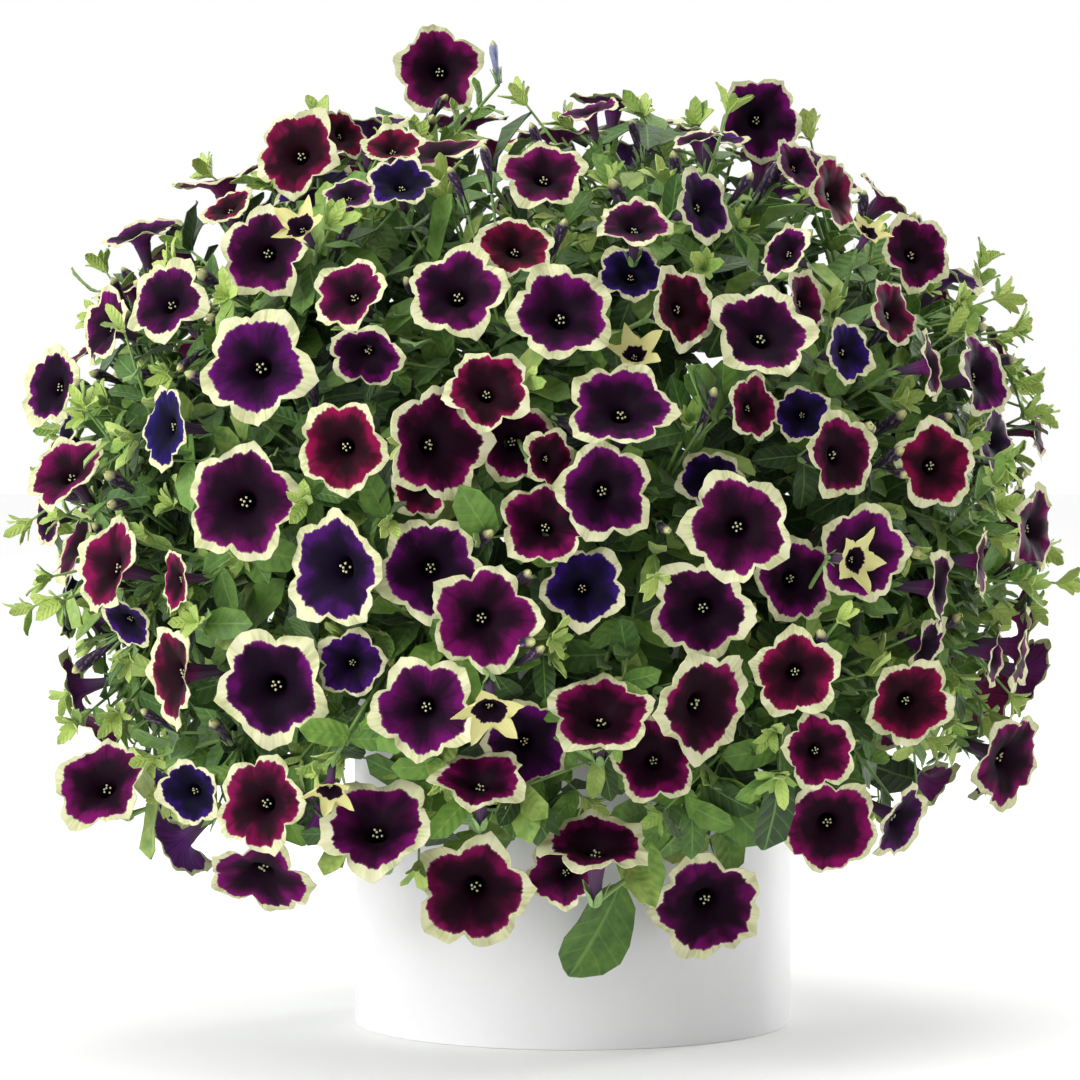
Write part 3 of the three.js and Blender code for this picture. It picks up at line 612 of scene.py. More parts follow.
petalFace = petalMaterial("petalVelvet", petalLook, back=False)
petalBack = petalMaterial("petalBackAndTube", petalLook, back=True)
leafGreen = leafMaterial("hairyLeaf", leafLook)
stemGreen = grainedMaterial(
    "softGreenStem", [(0.3, "#557b38"), (0.5, "#7ba052"), (0.75, "#8d9a5a")], 220, 0.3,
    Roughness=0.55, Sheen_Weight=0.12,
)
sepalGreen = grainedMaterial(
    "sepalGreen", [(0.3, "#5a8a3c"), (0.7, "#8fb364")], 300, 0.3, Roughness=0.5, Sheen_Weight=0.25,
)
antherCream = grainedMaterial(
    "pollenCream", [(0.3, "#b9b47c"), (0.7, "#e6e2bc")], 900, 0.2, Roughness=0.7,
)


# A furled bud: grey purple to near black in spiral stripes and fine streaks, and a pale greenish yellow tip
budLook = {
    "skin": [(0.3, "#6a5a6c"), (0.42, "#33233c"), (0.62, "#1c1024"), (0.8, "#4c3a55")],
    "paleSkin": "#8d92b4", "tip": "#c9c98a", "stripes": 5,
}


def budMaterial(name, look):
    m = newMaterial(name, Roughness=0.6, IOR=1.38, Specular_IOR_Level=0.3, Sheen_Weight=0.1)
    bud = addNode(m, "Attribute", attribute_name="bud", out="Vector")
    angle, rise = [addNode(m, "SeparateXYZ", bud, out=axis) for axis in "XZ"]
    pale = addNode(m, "Attribute", attribute_name="tone", out="Fac")
    swirl = addNode(m, "Math MULTIPLY_ADD", rise, 3, angle)
    around = addNode(m, "Math MULTIPLY", swirl, look["stripes"])
    ridge = addNode(m, "Math COSINE", around)
    place = addNode(m, "TexCoord", out="Object")
    streak = addNode(m, "TexNoise", Vector=place, Scale=420, Detail=3)
    shade = addNode(m, "Math MULTIPLY_ADD", ridge, 0.14, streak)
    skin = addNode(m, "ValToRGB", shade, stops=look["skin"])
    skin = addNode(m, "MixRGB", pale, skin, linear(look["paleSkin"]))
    tip = addNode(m, "MapRange", rise, 0.86, 0.95)
    colour = addNode(m, "MixRGB", tip, skin, linear(look["tip"]))
    feedShader(m, colour, ridge, 0.5, 0.4)
    return m


budSkin = budMaterial("furledBud", budLook)
# moulded polypropylene: satin white with a faint orange peel
potWhite = grainedMaterial(
    "mouldedWhitePlastic", [(0.3, "#e9e9ea"), (0.7, "#efeff0")], 14, 0.05,
    Roughness=0.34, IOR=1.49, Coat_Weight=0.12, Coat_Roughness=0.25,
)
peatBrown = grainedMaterial(
    "pottingCompost", [(0.3, "#1c130d"), (0.55, "#33231a"), (0.8, "#5a4332")], 160, 1.5, Roughness=0.95,
)
print("materials made")


# Shapes that repeat, each modelled once

random = np.random.default_rng(8656)


def pick(*shapes):
    bpy.ops.object.select_all(action="DESELECT")
    for shape in shapes:
        shape.select_set(True)
    if shapes:
        bpy.context.view_layer.objects.active = shapes[0]


def editMode(on):
    bpy.ops.object.mode_set(mode="EDIT" if on else "OBJECT")


# A skin through rings of one centre line; the profile is (radius, height) pairs
def extrudeProfile(name, around, profile):
    pick()
    bpy.ops.mesh.primitive_circle_add(vertices=around, radius=profile[0][0], location=(0, 0, profile[0][1]))
    bpy.ops.object.transform_apply(location=True)
    shape = bpy.context.object
    shape.name = name
    editMode(True)
    bpy.ops.mesh.select_all(action="SELECT")
    for (before, low), (after, high) in zip(profile, profile[1:]):
        bpy.ops.mesh.extrude_edges_move(TRANSFORM_OT_translate={"value": (0, 0, high - low)})
        bpy.ops.transform.resize(value=(after / before, after / before, 1))
    editMode(False)
    return shape


# Turns all faces outwards, after open ends are closed where that is asked for
def faceOut(shape, closeEnds=False):
    pick(shape)
    editMode(True)
    if closeEnds:
        bpy.ops.mesh.select_mode(type="EDGE")
        bpy.ops.mesh.select_all(action="DESELECT")
        bpy.ops.mesh.select_non_manifold(extend=False)
        bpy.ops.mesh.edge_face_add()
    bpy.ops.mesh.select_all(action="SELECT")
    bpy.ops.mesh.normals_make_consistent(inside=False)
    editMode(False)


def applyModifier(shape, kind, **settings):
    modifier = shape.modifiers.new(kind.lower(), kind)
    for key, value in settings.items():
        setattr(modifier, key, value)
    bpy.context.view_layer.objects.active = shape
    bpy.ops.object.modifier_apply(modifier=modifier.name)


def joined(pieces, name):
    pick(*pieces)
    bpy.ops.object.join()
    bpy.context.object.name = name
    return bpy.context.object


def smooth(shape, sharpest=180):
    pick(shape)
    bpy.ops.object.shade_smooth_by_angle(angle=math.radians(sharpest))


def placesOf(shape):
    places = np.empty(len(shape.data.vertices) * 3, dtype=np.float32)
    shape.data.vertices.foreach_get("co", places)
    return places.reshape(-1, 3).astype(float)


def setPlaces(shape, places):
    shape.data.vertices.foreach_set("co", places.astype(np.float32).ravel())


def copyShape(model, places):
    copy = model.copy()
    copy.data = model.data.copy()
    setPlaces(copy, places)
    bpy.context.collection.objects.link(copy)
    return copy


def mark(shape, name, values):
    isVector = np.ndim(values) == 2
    layer = shape.data.attributes.new(name, "FLOAT_VECTOR" if isVector else "FLOAT", "POINT")
    layer.data.foreach_set("vector" if isVector else "value", np.ravel(values).astype(np.float32))


# A flat blade of rows of points; it lies along Y and faces Z
def bladeGrid(name, across, along):
    pick()
    bpy.ops.mesh.primitive_grid_add(x_subdivisions=across, y_subdivisions=along, size=2)
    bpy.context.object.name = name
    return bpy.context.object


def bead(radius, place, material):
    pick()
    bpy.ops.mesh.primitive_ico_sphere_add(subdivisions=1, radius=radius, location=place)
    bpy.ops.object.transform_apply(location=True)
    bpy.context.object.data.materials.append(material)
    return bpy.context.object


# Five thin sepals in a ring, each with a width for each share of its length
def sepalRing(plan):
    ring = []
    for i in range(5):
        sepal = bladeGrid("sepal", 1, 3)
        x, y, z = placesOf(sepal).T
        share, turn = (y + 1) / 2, (i + plan["turn"]) * fullTurn / 5
        wide = plan["wide"] * np.interp(share, *plan["outline"])
        flare = plan["near"] + plan["spread"] * share ** plan["power"]
        setPlaces(sepal, np.stack((
            flare * math.cos(turn) - x * wide * math.sin(turn),
            flare * math.sin(turn) + x * wide * math.cos(turn),
            plan["low"] + plan["long"] * share - plan["fold"] * np.abs(x),
        ), 1))
        applyModifier(sepal, "SOLIDIFY", thickness=plan["thick"], offset=0)
        sepal.data.materials.append(sepalGreen)
        ring.append(sepal)
    return ring


# A bloom in shares of its reach: lobes, throat, tube, calyx and the pollen that shows in the throat
bloomPlan = {
    "around": 60, "petalThick": 0.014,
    "limb": [
        (0.05, -0.74), (0.15, -0.4), (0.26, -0.21), (0.48, -0.11), (0.72, -0.05), (0.89, -0.016), (1, 0),
    ],
    "tubeAround": 12, "tube": [(0.085, -1.27), (0.1, -1.1), (0.125, -0.8), (0.165, -0.55), (0.21, -0.36)],
    "sepals": {
        "turn": 0.5, "wide": 0.075, "outline": ([0, 0.35, 0.7, 1], [0.6, 1, 0.8, 0.1]), "thick": 0.014,
        "near": 0.09, "spread": 0.17, "power": 1.6, "low": -1.28, "long": 0.42, "fold": 0.03,
    },
    "cupSize": 0.115, "cupDepth": -1.27,
    "antherSize": 0.024, "antherRing": 0.072, "antherDepths": [-0.27, -0.32, -0.29, -0.34, -0.3],
    "stigmaRing": 0.012, "stigmaDepth": -0.27,
}


def bloomShape(plan):
    limb = extrudeProfile("limb", plan["around"], plan["limb"])
    for material in (petalFace, petalBack):
        limb.data.materials.append(material)
    if limb.data.polygons[-1].normal.z < 0:
        editMode(True)
        bpy.ops.mesh.select_all(action="SELECT")
        bpy.ops.mesh.flip_normals()
        editMode(False)
    applyModifier(
        limb, "SOLIDIFY", thickness=plan["petalThick"], offset=-1, material_offset=1, material_offset_rim=0,
    )
    mark(limb, "limb", np.ones(len(limb.data.vertices)))
    tube = extrudeProfile("tube", plan["tubeAround"], plan["tube"])
    tube.data.materials.append(petalBack)
    sepals = sepalRing(plan["sepals"])
    cup = bead(plan["cupSize"], (0, 0, plan["cupDepth"]), sepalGreen)
    pollen = []
    for i, depth in enumerate(plan["antherDepths"]):
        x, y = [plan["antherRing"] * way(i * fullTurn / 5) for way in (math.cos, math.sin)]
        pollen.append(bead(plan["antherSize"], (x, y, depth), antherCream))
    pollen.append(bead(plan["antherSize"], (plan["stigmaRing"], 0, plan["stigmaDepth"]), antherCream))
    bloom = joined([limb, tube, cup, *sepals, *pollen], "bloomShape")
    smooth(bloom, 50)
    return bloom


bloomModel = bloomShape(bloomPlan)
bloomPlaces = placesOf(bloomModel)
limbShare = np.empty(len(bloomPlaces), dtype=np.float32)
bloomModel.data.attributes["limb"].data.foreach_get("value", limbShare)
print("bloom faces:", len(bloomModel.data.polygons))


# How each open bloom differs: lobes with a small point, ruffled and scalloped edges, a slight warp
flowering = {
    "lobeShares": [0, 0.1, 0.3, 0.6, 0.85, 1],
    "open": {"lobe": [1.035, 0.995, 0.97, 0.915, 0.835, 0.765], "cream": 0.15, "tipDrop": 0.1},
    "young": {"lobe": [1.02, 0.93, 0.8, 0.64, 0.54, 0.48], "cream": 0.5, "tipDrop": -0.22},
    "ruffle": 0.06, "scallop": 0.022, "jitter": 0.018, "lobeVary": 0.06, "warp": 0.07, "pleat": 0.024,
    "lobeBend": 0.1,
}


def bloomCopy(bloom):
    form = flowering["young" if bloom["young"] else "open"]
    x, y, z = bloomPlaces.T
    radius = np.hypot(x, y)
    angle = np.arctan2(y, x)
    lobe = np.floor((angle + math.pi / 5) / (fullTurn / 5)).astype(int) % 5
    share = np.abs((angle + math.pi / 5) % (fullTurn / 5) - math.pi / 5) / (math.pi / 5)
    phases = random.uniform(0, fullTurn, 6)
    counts = random.integers((5, 7, 11, 13), (7, 10, 14, 18))
    waves = [np.sin(count * angle + phase) for count, phase in zip(counts, phases)]
    vary = random.uniform(-1, 1, 5)[lobe] * flowering["lobeVary"] * (1 - share ** 2)
    step = np.round(angle / fullTurn * bloomPlan["around"]).astype(int) % bloomPlan["around"]
    jitter = random.uniform(-1, 1, bloomPlan["around"])[step] * flowering["jitter"]
    stretch = np.interp(share, flowering["lobeShares"], form["lobe"]) - 1
    stretch += vary
    stretch += flowering["scallop"] * (0.5 * waves[1] + 0.5 * waves[2] + 0.4 * waves[3])
    stretch = limbShare * radius ** 1.7 * (stretch + jitter)
    lift = -form["tipDrop"] * (1 - share) ** 1.3 * radius ** 3
    lift += flowering["ruffle"] * radius ** 4 * (0.7 * waves[0] + 0.6 * waves[2])
    bends = random.uniform(-1, 0.7, 5)[lobe] * flowering["lobeBend"]
    lift += bends * (1 - share ** 2) * radius ** 3
    lift += flowering["warp"] * radius ** 2 * np.cos(2 * angle + phases[4])
    lift += flowering["pleat"] * radius * np.cos(5 * angle)
    lift = limbShare * np.where(radius > 0.2, 1, radius / 0.2) * lift
    shaped = np.stack((x * (1 + stretch), y * (1 + stretch), z + lift), 1)
    u, v = squareTo(bloom["facing"], upward)
    right = u * math.cos(bloom["roll"]) + v * math.sin(bloom["roll"])
    over = v * math.cos(bloom["roll"]) - u * math.sin(bloom["roll"])
    turnedPlaces = shaped @ np.array((right, over, bloom["facing"]))
    copy = copyShape(bloomModel, (bloom["middle"] + bloom["size"] / 2 * turnedPlaces) * mm)
    count = len(bloomPlaces)
    mark(copy, "petal", bloomPlaces)
    mark(copy, "seed", np.full(count, random.random()))
    mark(copy, "tone", np.full(count, bloom["tone"]))
    mark(copy, "cream", np.full(count, form["cream"] * random.uniform(0.65, 1.3)))
    return copy


# Leaves: a blade with a width for each row, folded along the midrib and arched to the tip
leafShapes = {
    "small": {"across": 2, "along": 4, "thick": 0.5},
    "large": {"across": 4, "along": 8, "thick": 0.6},
}
leafOutline = (
    [0, 0.06, 0.15, 0.3, 0.5, 0.7, 0.85, 0.94, 1],
    [0.1, 0.34, 0.68, 0.93, 1, 0.95, 0.8, 0.55, 0.1],
)
leafCurve = {"fold": 0.13, "arch": 0.2, "wave": 0.04}


def leafModel(name, plan):
    shape = bladeGrid(name, plan["across"], plan["along"])
    places = placesOf(shape)
    places[:, 1] = -np.cos(math.pi * (places[:, 1] + 1) / 2)
    setPlaces(shape, places)
    applyModifier(shape, "SOLIDIFY", thickness=0.012, offset=-1)
    smooth(shape, 60)
    shape.data.materials.append(leafGreen)
    return shape


leafModels = {name: leafModel(name, plan) for name, plan in leafShapes.items()}
leafFlat = {name: placesOf(model) for name, model in leafModels.items()}


def leafCopy(kind, leaf):
    x, y, z = leafFlat[kind].T
    side, share = np.clip(x, -1, 1), np.clip((y + 1) / 2, 0, 1)
    half = np.interp(share, *leafOutline) * leaf["wide"] / 2
    phase = random.uniform(0, fullTurn)
    bend = leafCurve["arch"] * random.uniform(0.4, 1.5)
    twist = random.uniform(-0.12, 0.12)
    rise = leafCurve["fold"] * np.abs(side) * half * 2 - bend * share ** 2
    rise += leafCurve["wave"] * np.abs(side) * np.sin(share * 3.1 * math.pi + phase + side)
    rise += twist * side * half * share * 2
    thick = np.where(z < -0.006, -leafShapes[kind]["thick"] / leaf["length"], 0)
    across = cross(leaf["heading"], leaf["face"])
    shaped = np.stack((side * half, share * (1 - 0.12 * bend), rise + thick), 1) * leaf["length"]
    places = (leaf["base"] + shaped @ np.array((across, leaf["heading"], leaf["face"]))) * mm
    copy = copyShape(leafModels[kind], places)
    shade = leaf.get("shade", random.random())
    mark(copy, "leaf", np.stack((side, share, np.full(len(side), shade)), 1))
    return copy


# Stalks and stems: open lines with a radius at each point, turned to a skin
def lineSkin(name, lines, material, roundness):
    curve = bpy.data.curves.new(name, "CURVE")
    curve.dimensions = "3D"
    curve.bevel_depth = mm
    curve.bevel_resolution = roundness
    curve.use_fill_caps = True
    for points, radii in lines:
        spline = curve.splines.new("POLY")
        spline.points.add(len(points) - 1)
        for point, place, radius in zip(spline.points, points, radii):
            point.co = (*(place * mm), 1)
            point.radius = radius
    piece = bpy.data.objects.new(name, curve)
    bpy.context.collection.objects.link(piece)
    pick(piece)
    bpy.ops.object.convert(target="MESH")
    piece = bpy.context.object
    piece.data.materials.clear()
    piece.data.materials.append(material)
    smooth(piece)
    return piece


# Where leaves and buds may go: clear of every bloom's limb and not in front of one

bloomMiddles = np.array([bloom["middle"] for bloom in blooms])
bloomFacings = np.array([bloom["facing"] for bloom in blooms])
bloomReaches = np.array([bloom["size"] / 2 for bloom in blooms])


def spoilsBloom(points, spare=0.4, ahead=24):
    offset = np.asarray(points)[:, None] - bloomMiddles
    height = (offset * bloomFacings).sum(2)
    radius = np.sqrt(np.maximum(0, (offset ** 2).sum(2) - height ** 2))
    inside = (radius <= bloomReaches + spare) & (height < 1.5 + spare)
    inside &= height > -1.5 - spare - room["slope"] * np.maximum(0, bloomReaches - radius)
    covers = (height >= 0) & (height < ahead) & (radius < 0.78 * bloomReaches)
    return bool((inside | covers).any())


# Rises are shares of the mound's height above or below its middle, and widths are shares of a leaf's length
foliage = {
    "pairEvery": 17, "pairStart": 9, "stalkLeaf": (24, 36), "wide": (0.42, 0.58), "lean": (0.75, 1.25),
    "sprays": 164, "sprayHighest": 0.99, "sprayLowest": -0.86, "sprayTipDepth": (-6, 34),
    "sprayLeaf": (34, 15), "sprayStart": 10, "sprayStems": 9,
    "flankSprays": 64, "flankRise": (-0.5, 0.55), "flankTurn": (-0.6, 0.6), "flankDepth": (-12, 10),
    "crownSprays": 34, "crownRise": (0.78, 1), "crownDepth": (10, 75),
    "curtain": 80, "curtainRise": (-0.82, -0.3), "curtainDepth": (12, 85),
    "shootLeaf": (34, 20), "shootStart": 14,
    "rosette": 7, "rosetteLeaf": (10, 19), "rosetteLean": (0.25, 0.8), "rosetteWide": (0.32, 0.46),
    "sparseBelow": -0.42, "sparseShare": 0.35, "sparseBeyond": 150,
    "fillers": 1440, "fillDepth": (5, 112), "fillLeaf": (22, 32), "fillWide": (0.44, 0.62),
    "fillNear": 4, "fillFar": 58, "fillLight": 0.35,
    "thinFillers": 10, "thinDepth": (4, 42), "thinAside": (-14, 14),
    "thin": [
        (-44, 278), (-37, 128), (100, 101), (-8, 140), (-22, 118), (-12, 104), (22, 116), (-112, 146),
        (71, 357),
    ],
}


def newLeaf(stem, base, heading, face, length, wide, shade):
    return {
        "stem": stem, "base": base, "heading": heading, "face": face, "length": length, "wide": wide,
        "shade": shade,
    }


# Keeps a leaf that spoils no bloom
def growLeaf(grown, leaf):
    tip, across = leaf["heading"] * leaf["length"], cross(leaf["heading"], leaf["face"])
    points = [leaf["base"] + tip * share for share in (0.3, 0.55, 0.8, 1)]
    sides = [across * half * leaf["wide"] * leaf["length"] for half in (-0.5, 0.5)]
    points += [leaf["base"] + tip * 0.45 + side for side in sides]
    if not spoilsBloom(points):
        grown.append(leaf)


def lightFace(base, heading, light):
    return squareTo(heading, unit(outward(base) + upward * light))[0]


# Leaf pairs up a line, each pair square to the last and smaller towards the tip
def growPairs(stem, line, start, sizes):
    base, end = line
    length = span(end - base)
    axis = unit(end - base)
    for i in range(max(1, int((length - start) / foliage["pairEvery"]))):
        share = (start + i * foliage["pairEvery"]) / length
        if share > 0.97:
            continue
        place = base + (end - base) * share
        long = sizes[0] + (sizes[1] - sizes[0]) * share
        for side in range(2):
            angle = i * math.pi / 2 + side * math.pi + random.uniform(-0.4, 0.4)
            heading = leaning(axis, upward, random.uniform(*foliage["lean"]), angle)
            growLeaf(smallLeaves, newLeaf(
                stem, place, heading, lightFace(place, heading, leafPlan["light"]),
                long * random.uniform(0.8, 1.15), random.uniform(*foliage["wide"]),
                0.55 * share + random.uniform(0, 0.55),
            ))


# Small leaves in a tuft round a growing tip
def growTuft(stem, tip, axis):
    for i in range(foliage["rosette"]):
        heading = leaning(axis, upward, random.uniform(*foliage["rosetteLean"]), i * goldenAngle)
        growLeaf(smallLeaves, newLeaf(
            stem, tip, heading, -squareTo(heading, -axis)[0], random.uniform(*foliage["rosetteLeaf"]),
            random.uniform(*foliage["rosetteWide"]), random.uniform(0.75, 1.2),
        ))


smallLeaves, sprigs = [], []
for bloom in blooms:
    growPairs(bloom["stem"], bloom["stalk"][::-1], foliage["pairStart"], foliage["stalkLeaf"])
for shoot in shoots:
    growPairs(shoot["stem"], shoot["line"], foliage["shootStart"], foliage["shootLeaf"])
    growTuft(shoot["stem"], shoot["line"][1], shoot["heading"])


# Few shoots hang low at the sides, where the mound is thin
def sparse(rise, place):
    low = rise < foliage["sparseBelow"] and abs(place[0]) > foliage["sparseBeyond"]
    return low and random.random() > foliage["sparseShare"]


def belowSkin(surface, depths):
    return surface - outward(surface) * random.uniform(*depths)


tips = []
for k in range(foliage["sprays"]):
    share = (k + 0.5) / foliage["sprays"]
    rise = foliage["sprayHighest"] + (foliage["sprayLowest"] - foliage["sprayHighest"]) * share
    surface = moundPlace(rise, k * goldenAngle + 1.3)
    if not sparse(rise, surface):
        tips.append(belowSkin(surface, foliage["sprayTipDepth"]))
for k in range(foliage["curtain"]):  # in front of the pot's wall, all round
    surface = moundPlace(random.uniform(*foliage["curtainRise"]), k * goldenAngle)
    tips.append(belowSkin(surface, foliage["curtainDepth"]))
for k in range(foliage["flankSprays"]):  # looser shoots that widen the mound to both sides
    rise = random.uniform(*foliage["flankRise"])
    surface = moundPlace(rise, math.pi * (k % 2) + random.uniform(*foliage["flankTurn"]))
    tips.append(belowSkin(surface, foliage["flankDepth"]))
for k in range(foliage["crownSprays"]):
    surface = moundPlace(random.uniform(*foliage["crownRise"]), k * goldenAngle)
    tips.append(belowSkin(surface, foliage["crownDepth"]))
for tip in tips:
    for stem in ((meetings - tip) ** 2).sum(1).argsort()[:foliage["sprayStems"]]:
        line = (stems[stem]["meeting"], tip)
        steps = [line[0] + (tip - line[0]) * part for part in (0.3, 0.5, 0.7, 0.85, 1)]
        if any(piercesLimb(line, bloom) for bloom in blooms) or spoilsBloom(steps):
            continue
        sprigs.append({"stem": int(stem), "line": line})
        growPairs(int(stem), line, foliage["sprayStart"], foliage["sprayLeaf"])
        growTuft(int(stem), tip, unit(tip - line[0]))
        break

# Broad leaves that fill the mound below its skin, each on the nearest stalk, shoot or stem
growing = [(bloom["stem"], *bloom["stalk"]) for bloom in blooms]
growing += [(item["stem"], *item["line"]) for item in [*shoots, *sprigs]]
for k, stem in enumerate(stems):
    growing += [(k, stem["curve"](i / 8), stem["curve"]((i + 1) / 8)) for i in range(3, 8)]
anchors, anchorStems = [], []
for stem, start, end in growing:
    for part in np.linspace(0.08, 0.96, 10):
        anchors.append(start + (end - start) * part)
        anchorStems.append(stem)
anchors = np.array(anchors)
fillTargets = []
for k in range(foliage["fillers"]):
    rise = 0.99 - 1.87 * (k + 0.5) / foliage["fillers"]
    surface = moundPlace(rise, k * goldenAngle + 0.5)
    depth = random.uniform(*foliage["fillDepth"])
    if not sparse(rise, surface):
        fillTargets.append((surface - outward(surface) * depth, depth))
for across, up in foliage["thin"]:  # places the front blooms leave open
    surface = seenPlace(across, up)
    for depth in np.linspace(*foliage["thinDepth"], foliage["thinFillers"]):
        x, z = [random.uniform(*foliage["thinAside"]) for axis in "xz"]
        fillTargets.append((surface + np.array((x, depth, z)), depth))
for target, depth in fillTargets:
    apart = ((anchors - target) ** 2).sum(1)
    nearest = int(apart.argmin())
    base = anchors[nearest]
    length = math.sqrt(apart[nearest]) * 1.08
    if length > foliage["fillFar"] or length < foliage["fillNear"]:
        continue
    heading = unit(target - base)
    growLeaf(smallLeaves, newLeaf(
        anchorStems[nearest], base, heading, lightFace(base, heading, foliage["fillLight"]),
        max(length, random.uniform(*foliage["fillLeaf"])), random.uniform(*foliage["fillWide"]),
        # deeper leaves get a darker tone: painted shade inside the mound, over a random tone
        random.uniform(0, 0.9) * (1 - depth / 140),
    ))
print("small leaves and sprigs:", len(smallLeaves), len(sprigs))

# Long dark buds among the blooms, modelled one unit long
budPlan = {
    "long": (24, 38), "count": 130, "rise": (-0.55, 0.98), "depth": (-4, 14), "raise": (-0.2, 0.5),
    "around": 10, "profile": [
        (0.02, 0), (0.07, 0.03), (0.075, 0.16), (0.06, 0.32), (0.07, 0.5), (0.1, 0.72), (0.095, 0.86),
        (0.05, 0.96), (0.012, 1),
    ],
    "sepals": {
        "turn": 0, "wide": 0.035, "outline": ([0, 0.4, 1], [0.8, 1, 0.1]), "thick": 0.015,
        "near": 0.07, "spread": 0.06, "power": 2, "low": 0.02, "long": 0.36, "fold": 0,
    },
    "pleat": 0.14, "sway": 0.12,
}
budModel = extrudeProfile("bud", budPlan["around"], budPlan["profile"])
faceOut(budModel)
budModel.data.materials.append(budSkin)
budModel = joined([budModel, *sepalRing(budPlan["sepals"])], "budShape")
smooth(budModel)
budPlaces = placesOf(budModel)


def budCopy(bud):
    x, y, z = budPlaces.T
    angle = np.arctan2(y, x)
    u, v = squareTo(bud["heading"], upward)
    twist = random.uniform(0, fullTurn)
    pleat = np.where(np.hypot(x, y) > 0.05, 1 + budPlan["pleat"] * np.cos(5 * angle + 3 * z), 1)
    sway = budPlan["sway"] * z ** 2
    shaped = np.stack((x * pleat + sway * math.cos(twist), y * pleat + sway * math.sin(twist), z), 1)
    turnedPlaces = shaped @ np.array((u, v, bud["heading"]))
    copy = copyShape(budModel, (bud["base"] + bud["length"] * turnedPlaces) * mm)
    mark(copy, "bud", np.stack((angle, np.zeros(len(z)), z), 1))
    mark(copy, "tone", np.full(len(z), bud["tone"]))
    return copy


def newBud(stem, tip, heading, length, tone):
    base = tip - heading * length
    line = (stems[stem]["meeting"], base)
    return {"stem": stem, "base": base, "heading": heading, "length": length, "tone": tone, "line": line}


buds = []
for k in range(budPlan["count"] * 4):
    surface = moundPlace(random.uniform(*budPlan["rise"]), random.uniform(0, fullTurn))
    tip = belowSkin(surface, budPlan["depth"])
    stem = nearestStem(tip)
    length = random.uniform(*budPlan["long"])
    heading = unit(unit(tip - stems[stem]["meeting"]) + upward * random.uniform(*budPlan["raise"]))
    bud = newBud(stem, tip, heading, length, 0)
    steps = [bud["base"] + heading * length * part for part in (0, 0.5, 1)]
    if spoilsBloom(steps, ahead=34) or any(piercesLimb(bud["line"], bloom) for bloom in blooms):
        continue
    buds.append(bud)
    if len(buds) == budPlan["count"]:
        break

# The tall sprig that stands clear of the crown and ends in a closed, pale bud
tall = {
    "tip": (-46.0, -25.0, 537.0), "way": (-0.25, -0.1, 1), "long": 24,
    "leaves": 9, "leafLong": (38, 14), "lean": 0.8, "wide": 0.34, "shade": (0.6, 1),
}
tip = np.array(tall["tip"])
bud = newBud(nearestStem(tip), tip, unit(np.array(tall["way"])), tall["long"], 1)
buds.append(bud)
start, base = bud["line"]
axis = unit(base - start)
longest, shortest = tall["leafLong"]
for i in range(tall["leaves"] * 2):
    share = 0.35 + 0.6 * (i // 2) / tall["leaves"]
    heading = leaning(axis, upward, tall["lean"], (i // 2) * math.pi / 2 + (i % 2) * math.pi)
    smallLeaves.append(newLeaf(
        bud["stem"], start + (base - start) * share, heading, squareTo(heading, axis)[0],
        longest + (shortest - longest) * share, tall["wide"], random.uniform(*tall["shade"]),
    ))

# A broad old leaf that hangs before the pot's wall
hanging = {"base": (24.0, -152.0, 92.0), "way": (-22, -9, -50), "wide": 0.7, "shade": 0.45}
base, way = np.array(hanging["base"]), np.array(hanging["way"])
stem = nearestStem(base)
sprigs.append({"stem": stem, "line": (stems[stem]["meeting"], base)})
leaves.append(newLeaf(
    stem, base, unit(way), lightFace(base, unit(way), foliage["fillLight"]), span(way), hanging["wide"],
    hanging["shade"],
))
print("buds:", len(buds))


# The pieces, one for each node of the frame


def standFor(piece, name, node):
    piece.name = name
    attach(piece, "root")
    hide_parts(node)


def straight(line, count):
    base, tip = line
    return [base + (tip - base) * s for s in np.linspace(0, 1, count)]


# Radii along each kind of line, in millimetres, and the arch of a bloom's stalk as a share of its length
stalkPlan = {
    "bloom": [1.15, 0.95, 0.9, 0.9, 1, 1.2], "bloomBase": 0.0375, "arch": 0.1,
    "bud": [0.9, 0.9, 0.85, 0.8, 0.9], "knot": [2.1, 2.6, 3.2, 0.6],
    "shoot": [1.6, 1.5, 1.4, 1.2, 1, 0.7], "sprig": [1.3, 1.2, 1.1, 1, 0.8, 0.6],
    "foot": 2.6, "stem": (2.7, 2.1), "stemSteps": 15, "rootDepth": 26,
}


def onThis(items, k):
    return [item for item in items if item["stem"] == k]


for k, stem in enumerate(stems):
    lines = []
    for bloom in onThis(blooms, k):
        root, hub = bloom["stalk"]
        length = span(hub - root)
        shares = np.linspace(0, 1, len(stalkPlan["bloom"]) + 1)
        arch = [bloom["facing"] * stalkPlan["arch"] * length * math.sin(math.pi * s) for s in shares]
        path = [root + (hub - root) * s - bend for s, bend in zip(shares, arch)]
        lines.append((path, [stalkPlan["bloomBase"] * bloom["size"], *stalkPlan["bloom"]]))
    for bud in onThis(buds, k):
        lines.append((straight(bud["line"], 5), stalkPlan["bud"]))
    hubEnd = stem["hub"] + stem["heading"] * stemPlan["hubLength"]
    knot = [stem["hub"], stem["hub"] + stem["heading"] * 3, stem["meeting"], hubEnd]
    lines.append((knot, stalkPlan["knot"]))
    grown = [bloomCopy(bloom) for bloom in onThis(blooms, k)] + [budCopy(bud) for bud in onThis(buds, k)]
    spray = joined([lineSkin("stalks", lines, stemGreen, 1), *grown], "spray")
    standFor(spray, f"petuniaBlooms_{k + 1:02d}", f"bloom_spray_{k + 1:02d}")

